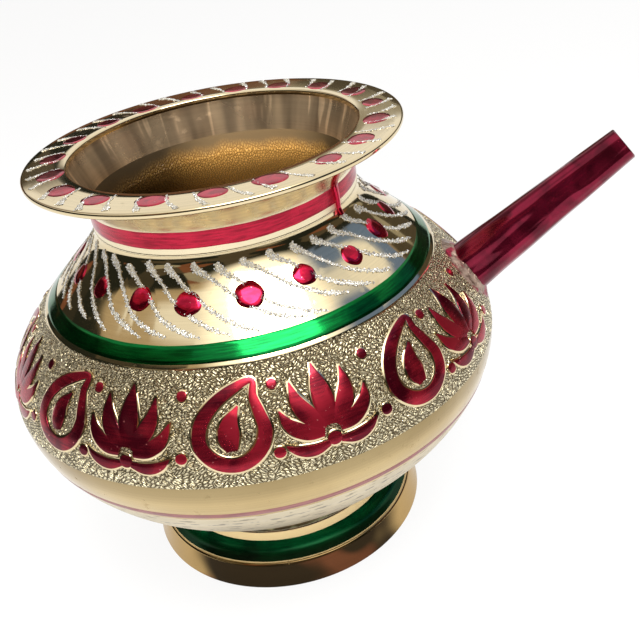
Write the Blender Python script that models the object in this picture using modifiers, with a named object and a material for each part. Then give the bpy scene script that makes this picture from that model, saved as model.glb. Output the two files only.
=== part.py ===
"""Karwa lota: a turned brass ritual pot on a foot ring, with one straight spout.

Metres, +Z up. The pot stands on z = 0, and the middle of its plan box is at the origin.
The spout lies in the plane y = 0 and rises towards +X.
"""

import math

import bmesh
import bpy

# Fits
FIT_GAP = 0.0003
TURN_STEPS = 40
CURVE_SEGMENTS = 12
ARC_SEGMENTS = 3
SPOUT_STEPS = 24

# Mouth rim: a flat flange round the mouth
RIM_RADIUS = 0.0450
RIM_THICKNESS = 0.0017
RIM_EDGE_ROUND = 0.0005
MOUTH_RADIUS = 0.0345
MOUTH_BEVEL = 0.0005

# Neck collar: a straight band below a flare, with a spigot inside the shoulder
NECK_RADIUS = 0.0324
NECK_WALL = 0.0018
NECK_BAND_HEIGHT = 0.0043
NECK_FLARE_HEIGHT = 0.0080
NECK_FLARE_HANDLE = 0.0030
NECK_TOP_LAND = 0.0012
NECK_SPIGOT_WALL = 0.0012
NECK_SPIGOT_LENGTH = 0.0030

# Body: shoulder shell over a lower bowl, lapped at the belly
BODY_WALL = 0.0015
BELLY_RADIUS = 0.0625
SHOULDER_HEIGHT = 0.0385
SHOULDER_NECK_HANDLE = 0.0072
SHOULDER_BELLY_HANDLE = 0.0158
BELLY_LAP = 0.0030
BELLY_LAP_WALL = 0.0010
BOWL_HEIGHT = 0.0430
BOWL_BELLY_HANDLE = 0.0220
BOWL_WAIST_HANDLE = 0.0066
WAIST_RADIUS = 0.0315
FLOOR_THICKNESS = 0.0018
BOSS_RADIUS = 0.0255
BOSS_DEPTH = 0.0014

# Foot ring: a cove flaring to an edge, over a wall that leans out to the base, hollow below
FOOT_HEIGHT = 0.0131
FOOT_COVE = 0.0062
FOOT_EDGE_ROUND = 0.0012
FOOT_BASE_RADIUS = 0.0387
FOOT_BASE_WIDTH = 0.0035
FOOT_HOLLOW = 0.0046
FOOT_PLATE = 0.0042

# Spout: a straight tapered tube, set into a hole in the shoulder
SPOUT_SLOPE = math.radians(36.6)
SPOUT_LENGTH = 0.0464
SPOUT_ABOVE_SEAM = 0.0117
SPOUT_ROOT_RADIUS = 0.0067
SPOUT_TIP_RADIUS = 0.0041
SPOUT_WALL = 0.0009
SPOUT_INSET = 0.0025
SPOUT_SHANK = 0.0020

# Filler metal at the joints
BRAZE_LEG = 0.0013
BRAZE_BEAD = 0.0007
SOLDER_LEG = 0.0026
SOLDER_HEIGHT = 0.0034
SOLDER_EDGE = 0.0008
CUTTER_REACH = 0.0100

# Heights of the seams, from the table up
BOWL_BASE_Z = FOOT_HEIGHT + FIT_GAP
SEAM_Z = BOWL_BASE_Z + BOWL_HEIGHT
SHOULDER_BASE_Z = SEAM_Z + FIT_GAP
SHOULDER_TOP_Z = SHOULDER_BASE_Z + SHOULDER_HEIGHT
NECK_BASE_Z = SHOULDER_TOP_Z + FIT_GAP
NECK_BAND_TOP_Z = NECK_BASE_Z + NECK_BAND_HEIGHT
NECK_LAND_Z = NECK_BAND_TOP_Z + NECK_FLARE_HEIGHT
NECK_TOP_Z = NECK_LAND_Z + NECK_TOP_LAND
RIM_BASE_Z = NECK_TOP_Z + FIT_GAP
RIM_TOP_Z = RIM_BASE_Z + RIM_THICKNESS

# Radii that follow from a neighbour
NECK_TOP_RADIUS = MOUTH_RADIUS + NECK_WALL
SPIGOT_RADIUS = NECK_RADIUS - BODY_WALL - FIT_GAP
SPIGOT_BORE = SPIGOT_RADIUS - NECK_SPIGOT_WALL
SPIGOT_END_Z = NECK_BASE_Z - NECK_SPIGOT_LENGTH
LAP_OFFSET = BODY_WALL + FIT_GAP
LAP_TOP_Z = SHOULDER_BASE_Z + BELLY_LAP
FOOT_BORE = BOSS_RADIUS + FIT_GAP
FOOT_COVE_Z = FOOT_HEIGHT - FIT_GAP

# Sections


def s_curve(upper, upper_handle, lower, lower_handle, segments=CURVE_SEGMENTS):
    """Points of a cubic that leaves one (r, z) point and meets a lower one, upright at both."""
    points = []
    for step in range(segments + 1):
        t = step / segments
        weights = ((1 - t) ** 3, 3 * t * (1 - t) ** 2, 3 * t * t * (1 - t), t ** 3)
        radii = (upper[0], upper[0], lower[0], lower[0])
        heights = (upper[1], upper[1] - upper_handle, lower[1] + lower_handle, lower[1])
        radius = sum(weight * value for weight, value in zip(weights, radii))
        height = sum(weight * value for weight, value in zip(weights, heights))
        points.append((radius, height))
    return points


def inside(curve, depth):
    """The same curve, moved square to itself towards the axis by a depth."""
    moved = []
    last = len(curve) - 1
    for index, (radius, height) in enumerate(curve):
        before = curve[max(index - 1, 0)]
        after = curve[min(index + 1, last)]
        run = after[0] - before[0]
        drop = after[1] - before[1]
        length = math.hypot(run, drop)
        upright = index in (0, last)
        normal = (1.0, 0.0) if upright else (-drop / length, run / length)
        moved.append((radius - depth * normal[0], height - depth * normal[1]))
    return moved


def radius_at(curve, height):
    """Radius of a falling curve at a height, between its points."""
    for upper, lower in zip(curve, curve[1:]):
        if upper[1] >= height >= lower[1]:
            share = (upper[1] - height) / (upper[1] - lower[1])
            return upper[0] + share * (lower[0] - upper[0])
    nearest = min(curve, key=lambda point: abs(point[1] - height))
    return nearest[0]


def arc(centre, radius, start, end, segments=ARC_SEGMENTS):
    """Points of an arc in the section, between two angles in degrees."""
    points = []
    for step in range(segments + 1):
        angle = math.radians(start + (end - start) * step / segments)
        points.append((centre[0] + radius * math.cos(angle), centre[1] + radius * math.sin(angle)))
    return points


SHOULDER_CURVE = s_curve((NECK_RADIUS, SHOULDER_TOP_Z), SHOULDER_NECK_HANDLE,
                         (BELLY_RADIUS, SHOULDER_BASE_Z), SHOULDER_BELLY_HANDLE)
BOWL_CURVE = s_curve((BELLY_RADIUS, SEAM_Z), BOWL_BELLY_HANDLE,
                     (WAIST_RADIUS, BOWL_BASE_Z), BOWL_WAIST_HANDLE)
LAP_CURVE = inside(SHOULDER_CURVE, LAP_OFFSET)

# Place of the spout, from the pot's axis
SPOUT_ROOT_Z = SHOULDER_BASE_Z + SPOUT_ABOVE_SEAM
SPOUT_ROOT_X = radius_at(SHOULDER_CURVE, SPOUT_ROOT_Z)
SPOUT_REACH = (SPOUT_ROOT_X + SPOUT_LENGTH * math.cos(SPOUT_SLOPE)
               + SPOUT_TIP_RADIUS * math.sin(SPOUT_SLOPE))
AXIS_X = (BELLY_RADIUS - max(SPOUT_REACH, BELLY_RADIUS)) / 2

# Building


def finish(name, colour, roughness, metallic):
    """A plain material for one piece."""
    material = bpy.data.materials.new(name)
    material.use_nodes = True
    shader = material.node_tree.nodes["Principled BSDF"]
    shader.inputs["Base Color"].default_value = (*colour, 1.0)
    shader.inputs["Roughness"].default_value = roughness
    shader.inputs["Metallic"].default_value = metallic
    return material


def turned(name, section, parent, collection, steps=TURN_STEPS):
    """Turn a section about Z: down the outer side, and back up the inner side or to the axis."""
    count = len(section)
    edges = [(index, index + 1) for index in range(count - 1)]
    on_axis = section[0][0] == 0.0 and section[-1][0] == 0.0
    if not on_axis:
        edges.append((count - 1, 0))
    mesh = bpy.data.meshes.new(name)
    mesh.from_pydata([(radius, 0.0, height) for radius, height in section], edges, [])
    piece = bpy.data.objects.new(name, mesh)
    collection.objects.link(piece)
    piece.parent = parent
    screw = piece.modifiers.new("Turn", "SCREW")
    screw.steps = steps
    screw.render_steps = steps
    screw.use_merge_vertices = True
    screw.merge_threshold = 0.00001
    screw.use_smooth_shade = True
    return piece


def coned(name, low_radius, high_radius, low_z, high_z, parent, collection):
    """A closed cone frustum along the parent's Z axis."""
    shape = bmesh.new()
    bmesh.ops.create_cone(shape, cap_ends=True, segments=SPOUT_STEPS, radius1=low_radius,
                          radius2=high_radius, depth=high_z - low_z)
    bmesh.ops.translate(shape, verts=shape.verts, vec=(0.0, 0.0, (low_z + high_z) / 2))
    mesh = bpy.data.meshes.new(name)
    shape.to_mesh(mesh)
    shape.free()
    mesh.shade_smooth()
    mesh.set_sharp_from_angle(angle=math.radians(40.0))
    piece = bpy.data.objects.new(name, mesh)
    collection.objects.link(piece)
    piece.parent = parent
    return piece


def cut(piece, cutter):
    """Take a cutter's volume out of a piece."""
    boolean = piece.modifiers.new("Cut " + cutter.name, "BOOLEAN")
    boolean.operation = "DIFFERENCE"
    boolean.solver = "EXACT"
    boolean.object = cutter
    cutter.hide_render = True
    cutter.display_type = "WIRE"


def axis_empty(name, location, tilt, parent, collection):
    """An empty whose Z axis carries turned pieces, tilted from upright towards +X."""
    empty = bpy.data.objects.new(name, None)
    empty.location = location
    empty.rotation_euler = (0.0, tilt, 0.0)
    empty.parent = parent
    collection.objects.link(empty)
    return empty


def dress(piece, colour, roughness, metallic):
    """Give a piece its own material."""
    piece.data.materials.append(finish(piece.name, colour, roughness, metallic))


# Sections of the pieces


def rim_section():
    """Flat flange with a rounded outer edge and a small bevel at the mouth."""
    outer = RIM_RADIUS - RIM_EDGE_ROUND
    section = [(MOUTH_RADIUS + MOUTH_BEVEL, RIM_TOP_Z)]
    section += arc((outer, RIM_TOP_Z - RIM_EDGE_ROUND), RIM_EDGE_ROUND, 90, 0)
    section += arc((outer, RIM_BASE_Z + RIM_EDGE_ROUND), RIM_EDGE_ROUND, 0, -90)
    section += [(MOUTH_RADIUS, RIM_BASE_Z), (MOUTH_RADIUS, RIM_TOP_Z - MOUTH_BEVEL)]
    return section


def neck_section():
    """Flared collar on a straight band, stepped in to the spigot at its lower end."""
    flare = s_curve((NECK_TOP_RADIUS, NECK_LAND_Z), NECK_FLARE_HANDLE,
                    (NECK_RADIUS, NECK_BAND_TOP_Z), NECK_FLARE_HANDLE, CURVE_SEGMENTS // 2)
    bore = inside(flare, NECK_WALL)
    section = [(NECK_TOP_RADIUS, NECK_TOP_Z)] + flare
    section += [(NECK_RADIUS, NECK_BASE_Z), (SPIGOT_RADIUS, NECK_BASE_Z)]
    section += [(SPIGOT_RADIUS, SPIGOT_END_Z), (SPIGOT_BORE, SPIGOT_END_Z), (SPIGOT_BORE, NECK_BASE_Z)]
    section += bore[::-1] + [(MOUTH_RADIUS, NECK_TOP_Z)]
    return section


def shoulder_section():
    """Upper half of the body, an even wall from the neck to the belly."""
    return SHOULDER_CURVE + inside(SHOULDER_CURVE, BODY_WALL)[::-1]


def bowl_section():
    """Lower half of the body: floor, wall, lap strip inside the shoulder, and the boss below."""
    wall = inside(BOWL_CURVE, BODY_WALL)
    floor_z = BOWL_BASE_Z + FLOOR_THICKNESS
    wall = [point for point in wall if point[1] > floor_z + FLOOR_THICKNESS]
    lap_middle_z = (SHOULDER_BASE_Z + LAP_TOP_Z) / 2
    lap = [(radius_at(LAP_CURVE, z), z) for z in (SHOULDER_BASE_Z, lap_middle_z, LAP_TOP_Z)]
    section = [(0.0, floor_z), (wall[-1][0] - FLOOR_THICKNESS, floor_z)] + wall[::-1]
    section += [(radius - BELLY_LAP_WALL, z) for radius, z in lap] + lap[::-1]
    section += [(lap[0][0], SEAM_Z)] + BOWL_CURVE
    boss_z = BOWL_BASE_Z - BOSS_DEPTH
    section += [(BOSS_RADIUS, BOWL_BASE_Z), (BOSS_RADIUS, boss_z), (0.0, boss_z)]
    return section


def foot_section():
    """Seat for the bowl, cove down to a rounded edge, wall leaning out to the base, and the hollow below."""
    cove = arc((WAIST_RADIUS + FOOT_COVE, FOOT_COVE_Z), FOOT_COVE, 180, 255, 2 * ARC_SEGMENTS)
    lean = math.radians(75)
    round_r = cove[-1][0] - FOOT_EDGE_ROUND * math.cos(lean)
    round_z = cove[-1][1] - FOOT_EDGE_ROUND * math.sin(lean)
    edge = arc((round_r, round_z), FOOT_EDGE_ROUND, 75, 17)
    plate_z = FOOT_HEIGHT - FOOT_PLATE
    section = [(WAIST_RADIUS, FOOT_HEIGHT)] + cove + edge[1:]
    section += [(FOOT_BASE_RADIUS, 0.0), (FOOT_BASE_RADIUS - FOOT_BASE_WIDTH, 0.0)]
    section += [(edge[-1][0] - FOOT_BASE_WIDTH, FOOT_HOLLOW), (FOOT_BORE, plate_z), (FOOT_BORE, FOOT_HEIGHT)]
    return section


def spout_section():
    """Shank in the shoulder's hole, then a straight taper, with an even wall round the bore."""
    outside = [(SPOUT_TIP_RADIUS, SPOUT_LENGTH), (SPOUT_ROOT_RADIUS, SPOUT_SHANK),
               (SPOUT_ROOT_RADIUS, -SPOUT_INSET)]
    return outside + [(radius - SPOUT_WALL, height) for radius, height in outside[::-1]]


def rim_braze_section():
    """Fillet in the corner under the flange, round the top of the neck."""
    inner = NECK_TOP_RADIUS + FIT_GAP
    return [(inner + BRAZE_LEG, NECK_TOP_Z), (inner, NECK_TOP_Z - BRAZE_LEG), (inner, NECK_TOP_Z)]


def neck_braze_section():
    """Fillet inside, between the end of the neck's spigot and the shoulder's wall."""
    top_z = SPIGOT_END_Z - FIT_GAP
    low_z = top_z - BRAZE_LEG
    high = (radius_at(LAP_CURVE, top_z), top_z)
    low = (radius_at(LAP_CURVE, low_z), low_z)
    return [high, low, (SPIGOT_BORE, top_z)]


def belly_braze_section():
    """Fillet inside, between the top of the bowl's lap strip and the shoulder's wall."""
    low_z = LAP_TOP_Z + FIT_GAP
    top_z = low_z + BRAZE_LEG
    lap_bore = radius_at(LAP_CURVE, LAP_TOP_Z) - BELLY_LAP_WALL
    high = (radius_at(LAP_CURVE, top_z), top_z)
    low = (radius_at(LAP_CURVE, low_z), low_z)
    return [high, low, (lap_bore, low_z)]


def foot_braze_section():
    """Small bead over the seam at the waist, between bowl and foot."""
    inner = WAIST_RADIUS + FIT_GAP
    high_z = BOWL_BASE_Z + BRAZE_BEAD
    low_z = FOOT_HEIGHT - FIT_GAP
    return [(inner, high_z), (inner + BRAZE_BEAD, BOWL_BASE_Z), (inner, low_z)]


def envelope_section():
    """The shoulder's outside with the fit gap over it, carried below the seam and closed to the axis."""
    grown = inside(SHOULDER_CURVE, -FIT_GAP)
    low_z = SHOULDER_BASE_Z - CUTTER_REACH
    return [(0.0, SHOULDER_TOP_Z)] + grown + [(grown[-1][0], low_z), (0.0, low_z)]


def build():
    """Make every piece of the pot."""
    for old in list(bpy.data.objects):
        bpy.data.objects.remove(old, do_unlink=True)
    pot = bpy.data.collections.new("karwa_lota")
    cutters = bpy.data.collections.new("cutters")
    bpy.context.scene.collection.children.link(pot)
    bpy.context.scene.collection.children.link(cutters)
    axis = axis_empty("pot_axis", (AXIS_X, 0.0, 0.0), 0.0, None, pot)
    spout_root = (SPOUT_ROOT_X, 0.0, SPOUT_ROOT_Z)
    spout_axis = axis_empty("spout_axis", spout_root, math.pi / 2 - SPOUT_SLOPE, axis, pot)

    # Turned brass pieces
    polished = (0.78, 0.60, 0.32)
    dress(turned("mouth_rim", rim_section(), axis, pot), polished, 0.18, 1.0)
    dress(turned("neck_collar", neck_section(), axis, pot), polished, 0.20, 1.0)
    shoulder = turned("shoulder_shell", shoulder_section(), axis, pot)
    dress(shoulder, polished, 0.14, 1.0)
    dress(turned("lower_bowl", bowl_section(), axis, pot), (0.76, 0.58, 0.30), 0.24, 1.0)
    dress(turned("foot_ring", foot_section(), axis, pot), (0.70, 0.50, 0.24), 0.22, 1.0)

    # Lacquered spout in its hole
    spout = turned("spout_tube", spout_section(), spout_axis, pot, SPOUT_STEPS)
    dress(spout, (0.28, 0.01, 0.04), 0.16, 0.6)
    hole_radius = SPOUT_ROOT_RADIUS + FIT_GAP
    hole = coned("spout_hole", hole_radius, hole_radius, -CUTTER_REACH, CUTTER_REACH, spout_axis, cutters)
    cut(shoulder, hole)

    # Solder bead that follows the shoulder round the spout's root
    bead_top = hole_radius + SOLDER_EDGE
    bead_foot = hole_radius + SOLDER_LEG
    bead_root = 2 * bead_foot - bead_top
    bead = coned("spout_solder_bead", bead_root, bead_top, -SOLDER_HEIGHT, SOLDER_HEIGHT, spout_axis, pot)
    cut(bead, turned("shoulder_envelope", envelope_section(), axis, cutters))
    cut(bead, hole)
    dress(bead, (0.32, 0.06, 0.06), 0.30, 0.4)

    # Filler metal in the turned joints
    filler = (0.62, 0.46, 0.24)
    dress(turned("rim_braze_fillet", rim_braze_section(), axis, pot), filler, 0.40, 1.0)
    dress(turned("neck_braze_fillet", neck_braze_section(), axis, pot), filler, 0.40, 1.0)
    dress(turned("belly_braze_fillet", belly_braze_section(), axis, pot), filler, 0.40, 1.0)
    dress(turned("foot_braze_bead", foot_braze_section(), axis, pot), filler, 0.40, 1.0)


build()
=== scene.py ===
"""Looks of a karwa lota: a turned brass ritual pot with a lacquered pouring spout.

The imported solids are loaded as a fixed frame. Each turned piece is made again here as a fine, smooth
turning on the same profile and then dressed with its punched ground, painted bands, enamel drops,
glitter strokes and a raised lacquer frieze of paisleys and lotus flowers.
"""

from __future__ import annotations

import logging
import math
from dataclasses import dataclass
from enum import Enum
from typing import Iterable, Sequence, Union

import bmesh
import bpy
import numpy as np
from mathutils import Matrix, Vector, noise

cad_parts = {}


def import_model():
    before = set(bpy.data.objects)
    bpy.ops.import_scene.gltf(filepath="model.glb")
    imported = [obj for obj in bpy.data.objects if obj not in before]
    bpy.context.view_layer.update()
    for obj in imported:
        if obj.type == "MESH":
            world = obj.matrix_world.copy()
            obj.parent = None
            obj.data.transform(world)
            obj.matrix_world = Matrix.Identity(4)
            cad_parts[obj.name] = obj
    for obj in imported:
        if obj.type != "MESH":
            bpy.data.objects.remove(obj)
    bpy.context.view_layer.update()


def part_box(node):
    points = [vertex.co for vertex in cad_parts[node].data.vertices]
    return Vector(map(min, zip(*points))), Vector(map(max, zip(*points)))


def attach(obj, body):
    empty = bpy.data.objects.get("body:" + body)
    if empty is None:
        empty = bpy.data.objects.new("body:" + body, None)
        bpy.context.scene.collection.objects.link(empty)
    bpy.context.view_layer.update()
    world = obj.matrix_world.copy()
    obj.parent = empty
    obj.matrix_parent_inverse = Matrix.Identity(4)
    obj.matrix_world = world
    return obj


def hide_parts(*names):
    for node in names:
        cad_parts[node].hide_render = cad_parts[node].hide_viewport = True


LOG = logging.getLogger("karwa_lota")

MM = 0.001
BODY = "root"
TURN_SEGMENTS = 256
SHARP_ANGLE = math.radians(38.0)
FULL_TURN = 2.0 * math.pi
HAND_WAVES = (2, 3, 5, 9, 17, 31)

Node = bpy.types.Node
Socket = bpy.types.NodeSocket
Object = bpy.types.Object
Material = bpy.types.Material
Point = tuple[float, float]
Place = tuple[float, float, float]
Colour = tuple[float, float, float]
Value = Union[Socket, float, Sequence[float]]

# Glitter: width of a flake, flakes in a square metre, how far they lean and their least and most size
FLAKE_SIZE = 0.40 * MM
FLAKE_DENSITY = 7.0e6
FLAKE_TILT = 0.55
FLAKE_LEAST = 0.6
FLAKE_MOST = 1.25

# Room mirrored in the brass: least tone and colour of each kind of patch
WALL_TONES = (
    (0.0, (0.020, 0.022, 0.017)),
    (0.50, (0.085, 0.070, 0.048)),
    (0.76, (0.21, 0.085, 0.046)),
    (0.91, (0.36, 0.33, 0.26)),
)
TRIM_TONES = ((0.0, (0.16, 0.24, 0.44)), (0.45, (0.36, 0.28, 0.19)), (0.80, (0.70, 0.74, 0.86)))
PATCH_BLEND = 0.02
WARM_TRIM = (0.50, 0.40, 0.27)
CEILING = (1.0, 0.99, 0.97)
BEAM_COLOUR = (0.36, 0.31, 0.29)
KEY_COLOUR = (2.0, 1.97, 1.9)


class Slot(Enum):
    """Material slots of the record, named in the log for each piece."""

    BRASS = "polished_brass"
    FILLER = "braze_filler"
    MAROON = "maroon_lacquer"
    RED = "red_lacquer"
    GREEN = "green_lacquer"
    GLITTER = "silver_glitter"


# Node sheets: short calls for building shader and geometry trees


class NodeSheet:
    """A node tree with short calls for adding and joining its nodes."""

    def __init__(self, tree: bpy.types.NodeTree) -> None:
        """Keeps the tree that the nodes go into."""
        self.tree = tree

    def add(self, kind: str, **settings: object) -> Node:
        """Adds one node.

        Args:
            kind: Blender's name for the node's type.
            settings: Properties to set on the new node.

        Returns:
            The new node.
        """
        node = self.tree.nodes.new(kind)
        for name, value in settings.items():
            setattr(node, name, value)
        return node

    def feed(self, socket: Socket, value: Value) -> None:
        """Links an output to a socket, or sets the socket's own value.

        Args:
            socket: Input to fill.
            value: Output socket, number, colour or vector.
        """
        if isinstance(value, Socket):
            self.tree.links.new(value, socket)
            return
        if socket.type == "RGBA" and len(value) == 3:
            value = (*value, 1.0)
        socket.default_value = value

    def fill(self, node: Node, values: dict[str, Value]) -> None:
        """Fills a node's enabled inputs by their names."""
        for name, value in values.items():
            self.feed(self.pick(node.inputs, name), value)

    def call(self, kind: str, inputs: dict[str, Value], output: str, **settings: object) -> Socket:
        """Adds a node, fills its named inputs and gives one output.

        Args:
            kind: Blender's name for the node's type.
            inputs: Values by the name of the enabled input socket.
            output: Name of the enabled output socket wanted.
            settings: Properties to set on the new node.

        Returns:
            The wanted output socket.
        """
        node = self.add(kind, **settings)
        self.fill(node, inputs)
        return self.pick(node.outputs, output)

    @staticmethod
    def pick(sockets: Iterable[Socket], name: str) -> Socket:
        """Finds the enabled socket of that name."""
        return next(socket for socket in sockets if socket.name == name and socket.enabled)

    def math(self, operation: str, *values: Value, clamp: bool = False) -> Socket:
        """Adds a Math node.

        Args:
            operation: Name of the Math node's operation.
            values: Its operands, in order.
            clamp: Whether the result is held between 0 and 1.

        Returns:
            The result's socket.
        """
        node = self.add("ShaderNodeMath", operation=operation, use_clamp=clamp)
        for socket, value in zip(node.inputs, values):
            self.feed(socket, value)
        return node.outputs[0]

    def times(self, first: Value, second: Value) -> Socket:
        """Multiplies two numbers."""
        return self.math("MULTIPLY", first, second)

    def minus(self, first: Value, second: Value) -> Socket:
        """Takes the second number from the first."""
        return self.math("SUBTRACT", first, second)

    def times_plus(self, first: Value, second: Value, third: Value) -> Socket:
        """Multiplies two numbers and adds a third."""
        return self.math("MULTIPLY_ADD", first, second, third)

    def split(self, vector: Value) -> tuple[Socket, ...]:
        """Splits a vector into its three parts."""
        parts = self.call("ShaderNodeSeparateXYZ", {"Vector": vector}, "X").node.outputs
        return parts[0], parts[1], parts[2]

    def join(self, x: Value, y: Value, z: Value) -> Socket:
        """Joins three numbers into a vector."""
        return self.call("ShaderNodeCombineXYZ", {"X": x, "Y": y, "Z": z}, "Vector")

    def remap(
        self, value: Value, low: float, high: float, to_low: float = 0.0, to_high: float = 1.0
    ) -> Socket:
        """Maps a range smoothly on to another, held at its ends."""
        inputs = {"Value": value, "From Min": low, "From Max": high, "To Min": to_low, "To Max": to_high}
        return self.call("ShaderNodeMapRange", inputs, "Result", interpolation_type="SMOOTHSTEP")

    def mix(self, share: Value, first: Value, second: Value, blend: str = "MIX") -> Socket:
        """Mixes two colours, with the share telling how much of the second one shows."""
        inputs = {"Factor": share, "A": first, "B": second}
        return self.call("ShaderNodeMix", inputs, "Result", data_type="RGBA", blend_type=blend)

    def shade(self, colour: Value, tone: Socket) -> Socket:
        """Multiplies a colour by a tone."""
        return self.mix(1.0, colour, self.join(tone, tone, tone), "MULTIPLY")

    def cloud(self, vector: Value, scale: float, detail: float = 2.0, distortion: float = 0.0) -> Socket:
        """Adds a Noise texture, with its scale in cells to a metre, and gives its value of about 0.5."""
        inputs = {"Vector": vector, "Scale": scale, "Detail": detail, "Distortion": distortion}
        return self.call("ShaderNodeTexNoise", inputs, "Fac")

    def cells(self, vector: Value, scale: float, output: str = "Distance", **settings: str) -> Socket:
        """Adds a Voronoi texture, with its scale in cells to a metre, and gives one of its outputs."""
        return self.call("ShaderNodeTexVoronoi", {"Vector": vector, "Scale": scale}, output, **settings)

    def bump(self, height: Value, depth: float, strength: float = 1.0, **under: Socket) -> Socket:
        """Adds a Bump node, its depth in metres for a height of 1, over a coarser Normal if one is given."""
        inputs = {"Height": height, "Distance": depth, "Strength": strength, **under}
        return self.call("ShaderNodeBump", inputs, "Normal")


class SurfaceSheet(NodeSheet):
    """A material's nodes, with coordinates that follow the pot."""

    def __init__(self, tree: bpy.types.NodeTree, axis_x: float) -> None:
        """Measures the surface point from the pot's axis, straight and as the lathe turns.

        Args:
            tree: The material's node tree.
            axis_x: Place of the pot's axis.
        """
        super().__init__(tree)
        texture = self.add("ShaderNodeTexCoord")
        inputs = {"Vector": texture.outputs["Object"], "Location": (-axis_x, 0.0, 0.0)}
        self.point = self.call("ShaderNodeMapping", inputs, "Vector")
        x, y, self.level = self.split(self.point)
        self.radius = self.math("SQRT", self.times_plus(y, y, self.times(x, x)))
        self.angle = self.math("ARCTAN2", y, x)
        self.lathe = self.join(self.radius, 0.0, self.level)


# Finishes


@dataclass(frozen=True)
class Finish:
    """A surface finish that makes one material."""

    name: str

    def material(self, axis_x: float) -> Material:
        """Makes the material.

        Args:
            axis_x: Place of the pot's axis, for what follows the lathe.

        Returns:
            The new material.
        """
        material = bpy.data.materials.new(self.name)
        material.use_nodes = True
        sheet = SurfaceSheet(material.node_tree, axis_x)
        sheet.fill(material.node_tree.nodes["Principled BSDF"], self.look(sheet))
        return material

    def look(self, sheet: SurfaceSheet) -> dict[str, Value]:
        """Gives the shader's values by the names of its sockets."""
        raise NotImplementedError


@dataclass(frozen=True)
class TurnedBrass(Finish):
    """Polished brass with lathe lines, thumb smudges and a little tarnish."""

    colour: Colour = (0.84, 0.70, 0.44)
    tarnish: Colour = (0.52, 0.36, 0.17)
    tarnish_share: float = 0.22
    roughness: float = 0.05
    smudge: float = 0.045
    line_pitch: float = 0.7 * MM
    line_depth: float = 0.0004 * MM
    streak: float = 0.0
    metallic: float = 1.0
    dull_high: float = 0.0
    dull_low: float = 0.0

    def look(self, sheet: SurfaceSheet) -> dict[str, Value]:
        """Gives the shader's values.

        Args:
            sheet: The material's nodes.

        Returns:
            Values by the names of the shader's sockets.
        """
        lines = sheet.cloud(sheet.lathe, 1.0 / self.line_pitch, 4.0)
        fine = sheet.cloud(sheet.lathe, 5.0 / self.line_pitch)
        smudges = sheet.cloud(sheet.point, 70.0, 3.0, 0.6)
        spots = sheet.remap(sheet.cloud(sheet.point, 420.0, 4.0), 0.60, 0.74)
        patch_share = sheet.remap(sheet.cloud(sheet.point, 34.0, 4.0, 0.4), 0.42, 0.78, 0.0, self.tarnish_share)
        patch_share = sheet.math("MULTIPLY_ADD", spots, 0.25 * self.tarnish_share, patch_share, clamp=True)
        tone = sheet.remap(lines, 0.3, 0.7, 0.90, 1.0)
        if self.streak > 0.0:
            wall = sheet.join(sheet.times(sheet.angle, 0.03), 0.0, sheet.times(sheet.level, 0.12))
            broad = sheet.remap(sheet.cloud(wall, 160.0), 0.36, 0.66, 1.0 - self.streak, 1.0)
            narrow = sheet.remap(sheet.cloud(wall, 420.0, 1.0), 0.62, 0.72, 0.0, 1.4 * self.streak)
            tone = sheet.times(tone, sheet.math("ADD", broad, narrow))
        if self.dull_high > self.dull_low:
            tone = sheet.times(tone, sheet.remap(sheet.level, self.dull_low, self.dull_high, 1.0, 0.62))
        rough = sheet.remap(smudges, 0.35, 0.72, self.roughness, self.roughness + self.smudge)
        return {
            "Metallic": self.metallic,
            "Base Color": sheet.shade(sheet.mix(patch_share, self.colour, self.tarnish), tone),
            "Roughness": sheet.times_plus(spots, 0.5 * self.tarnish_share, rough),
            "Normal": sheet.bump(sheet.times_plus(fine, 0.35, lines), self.line_depth),
        }


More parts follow.
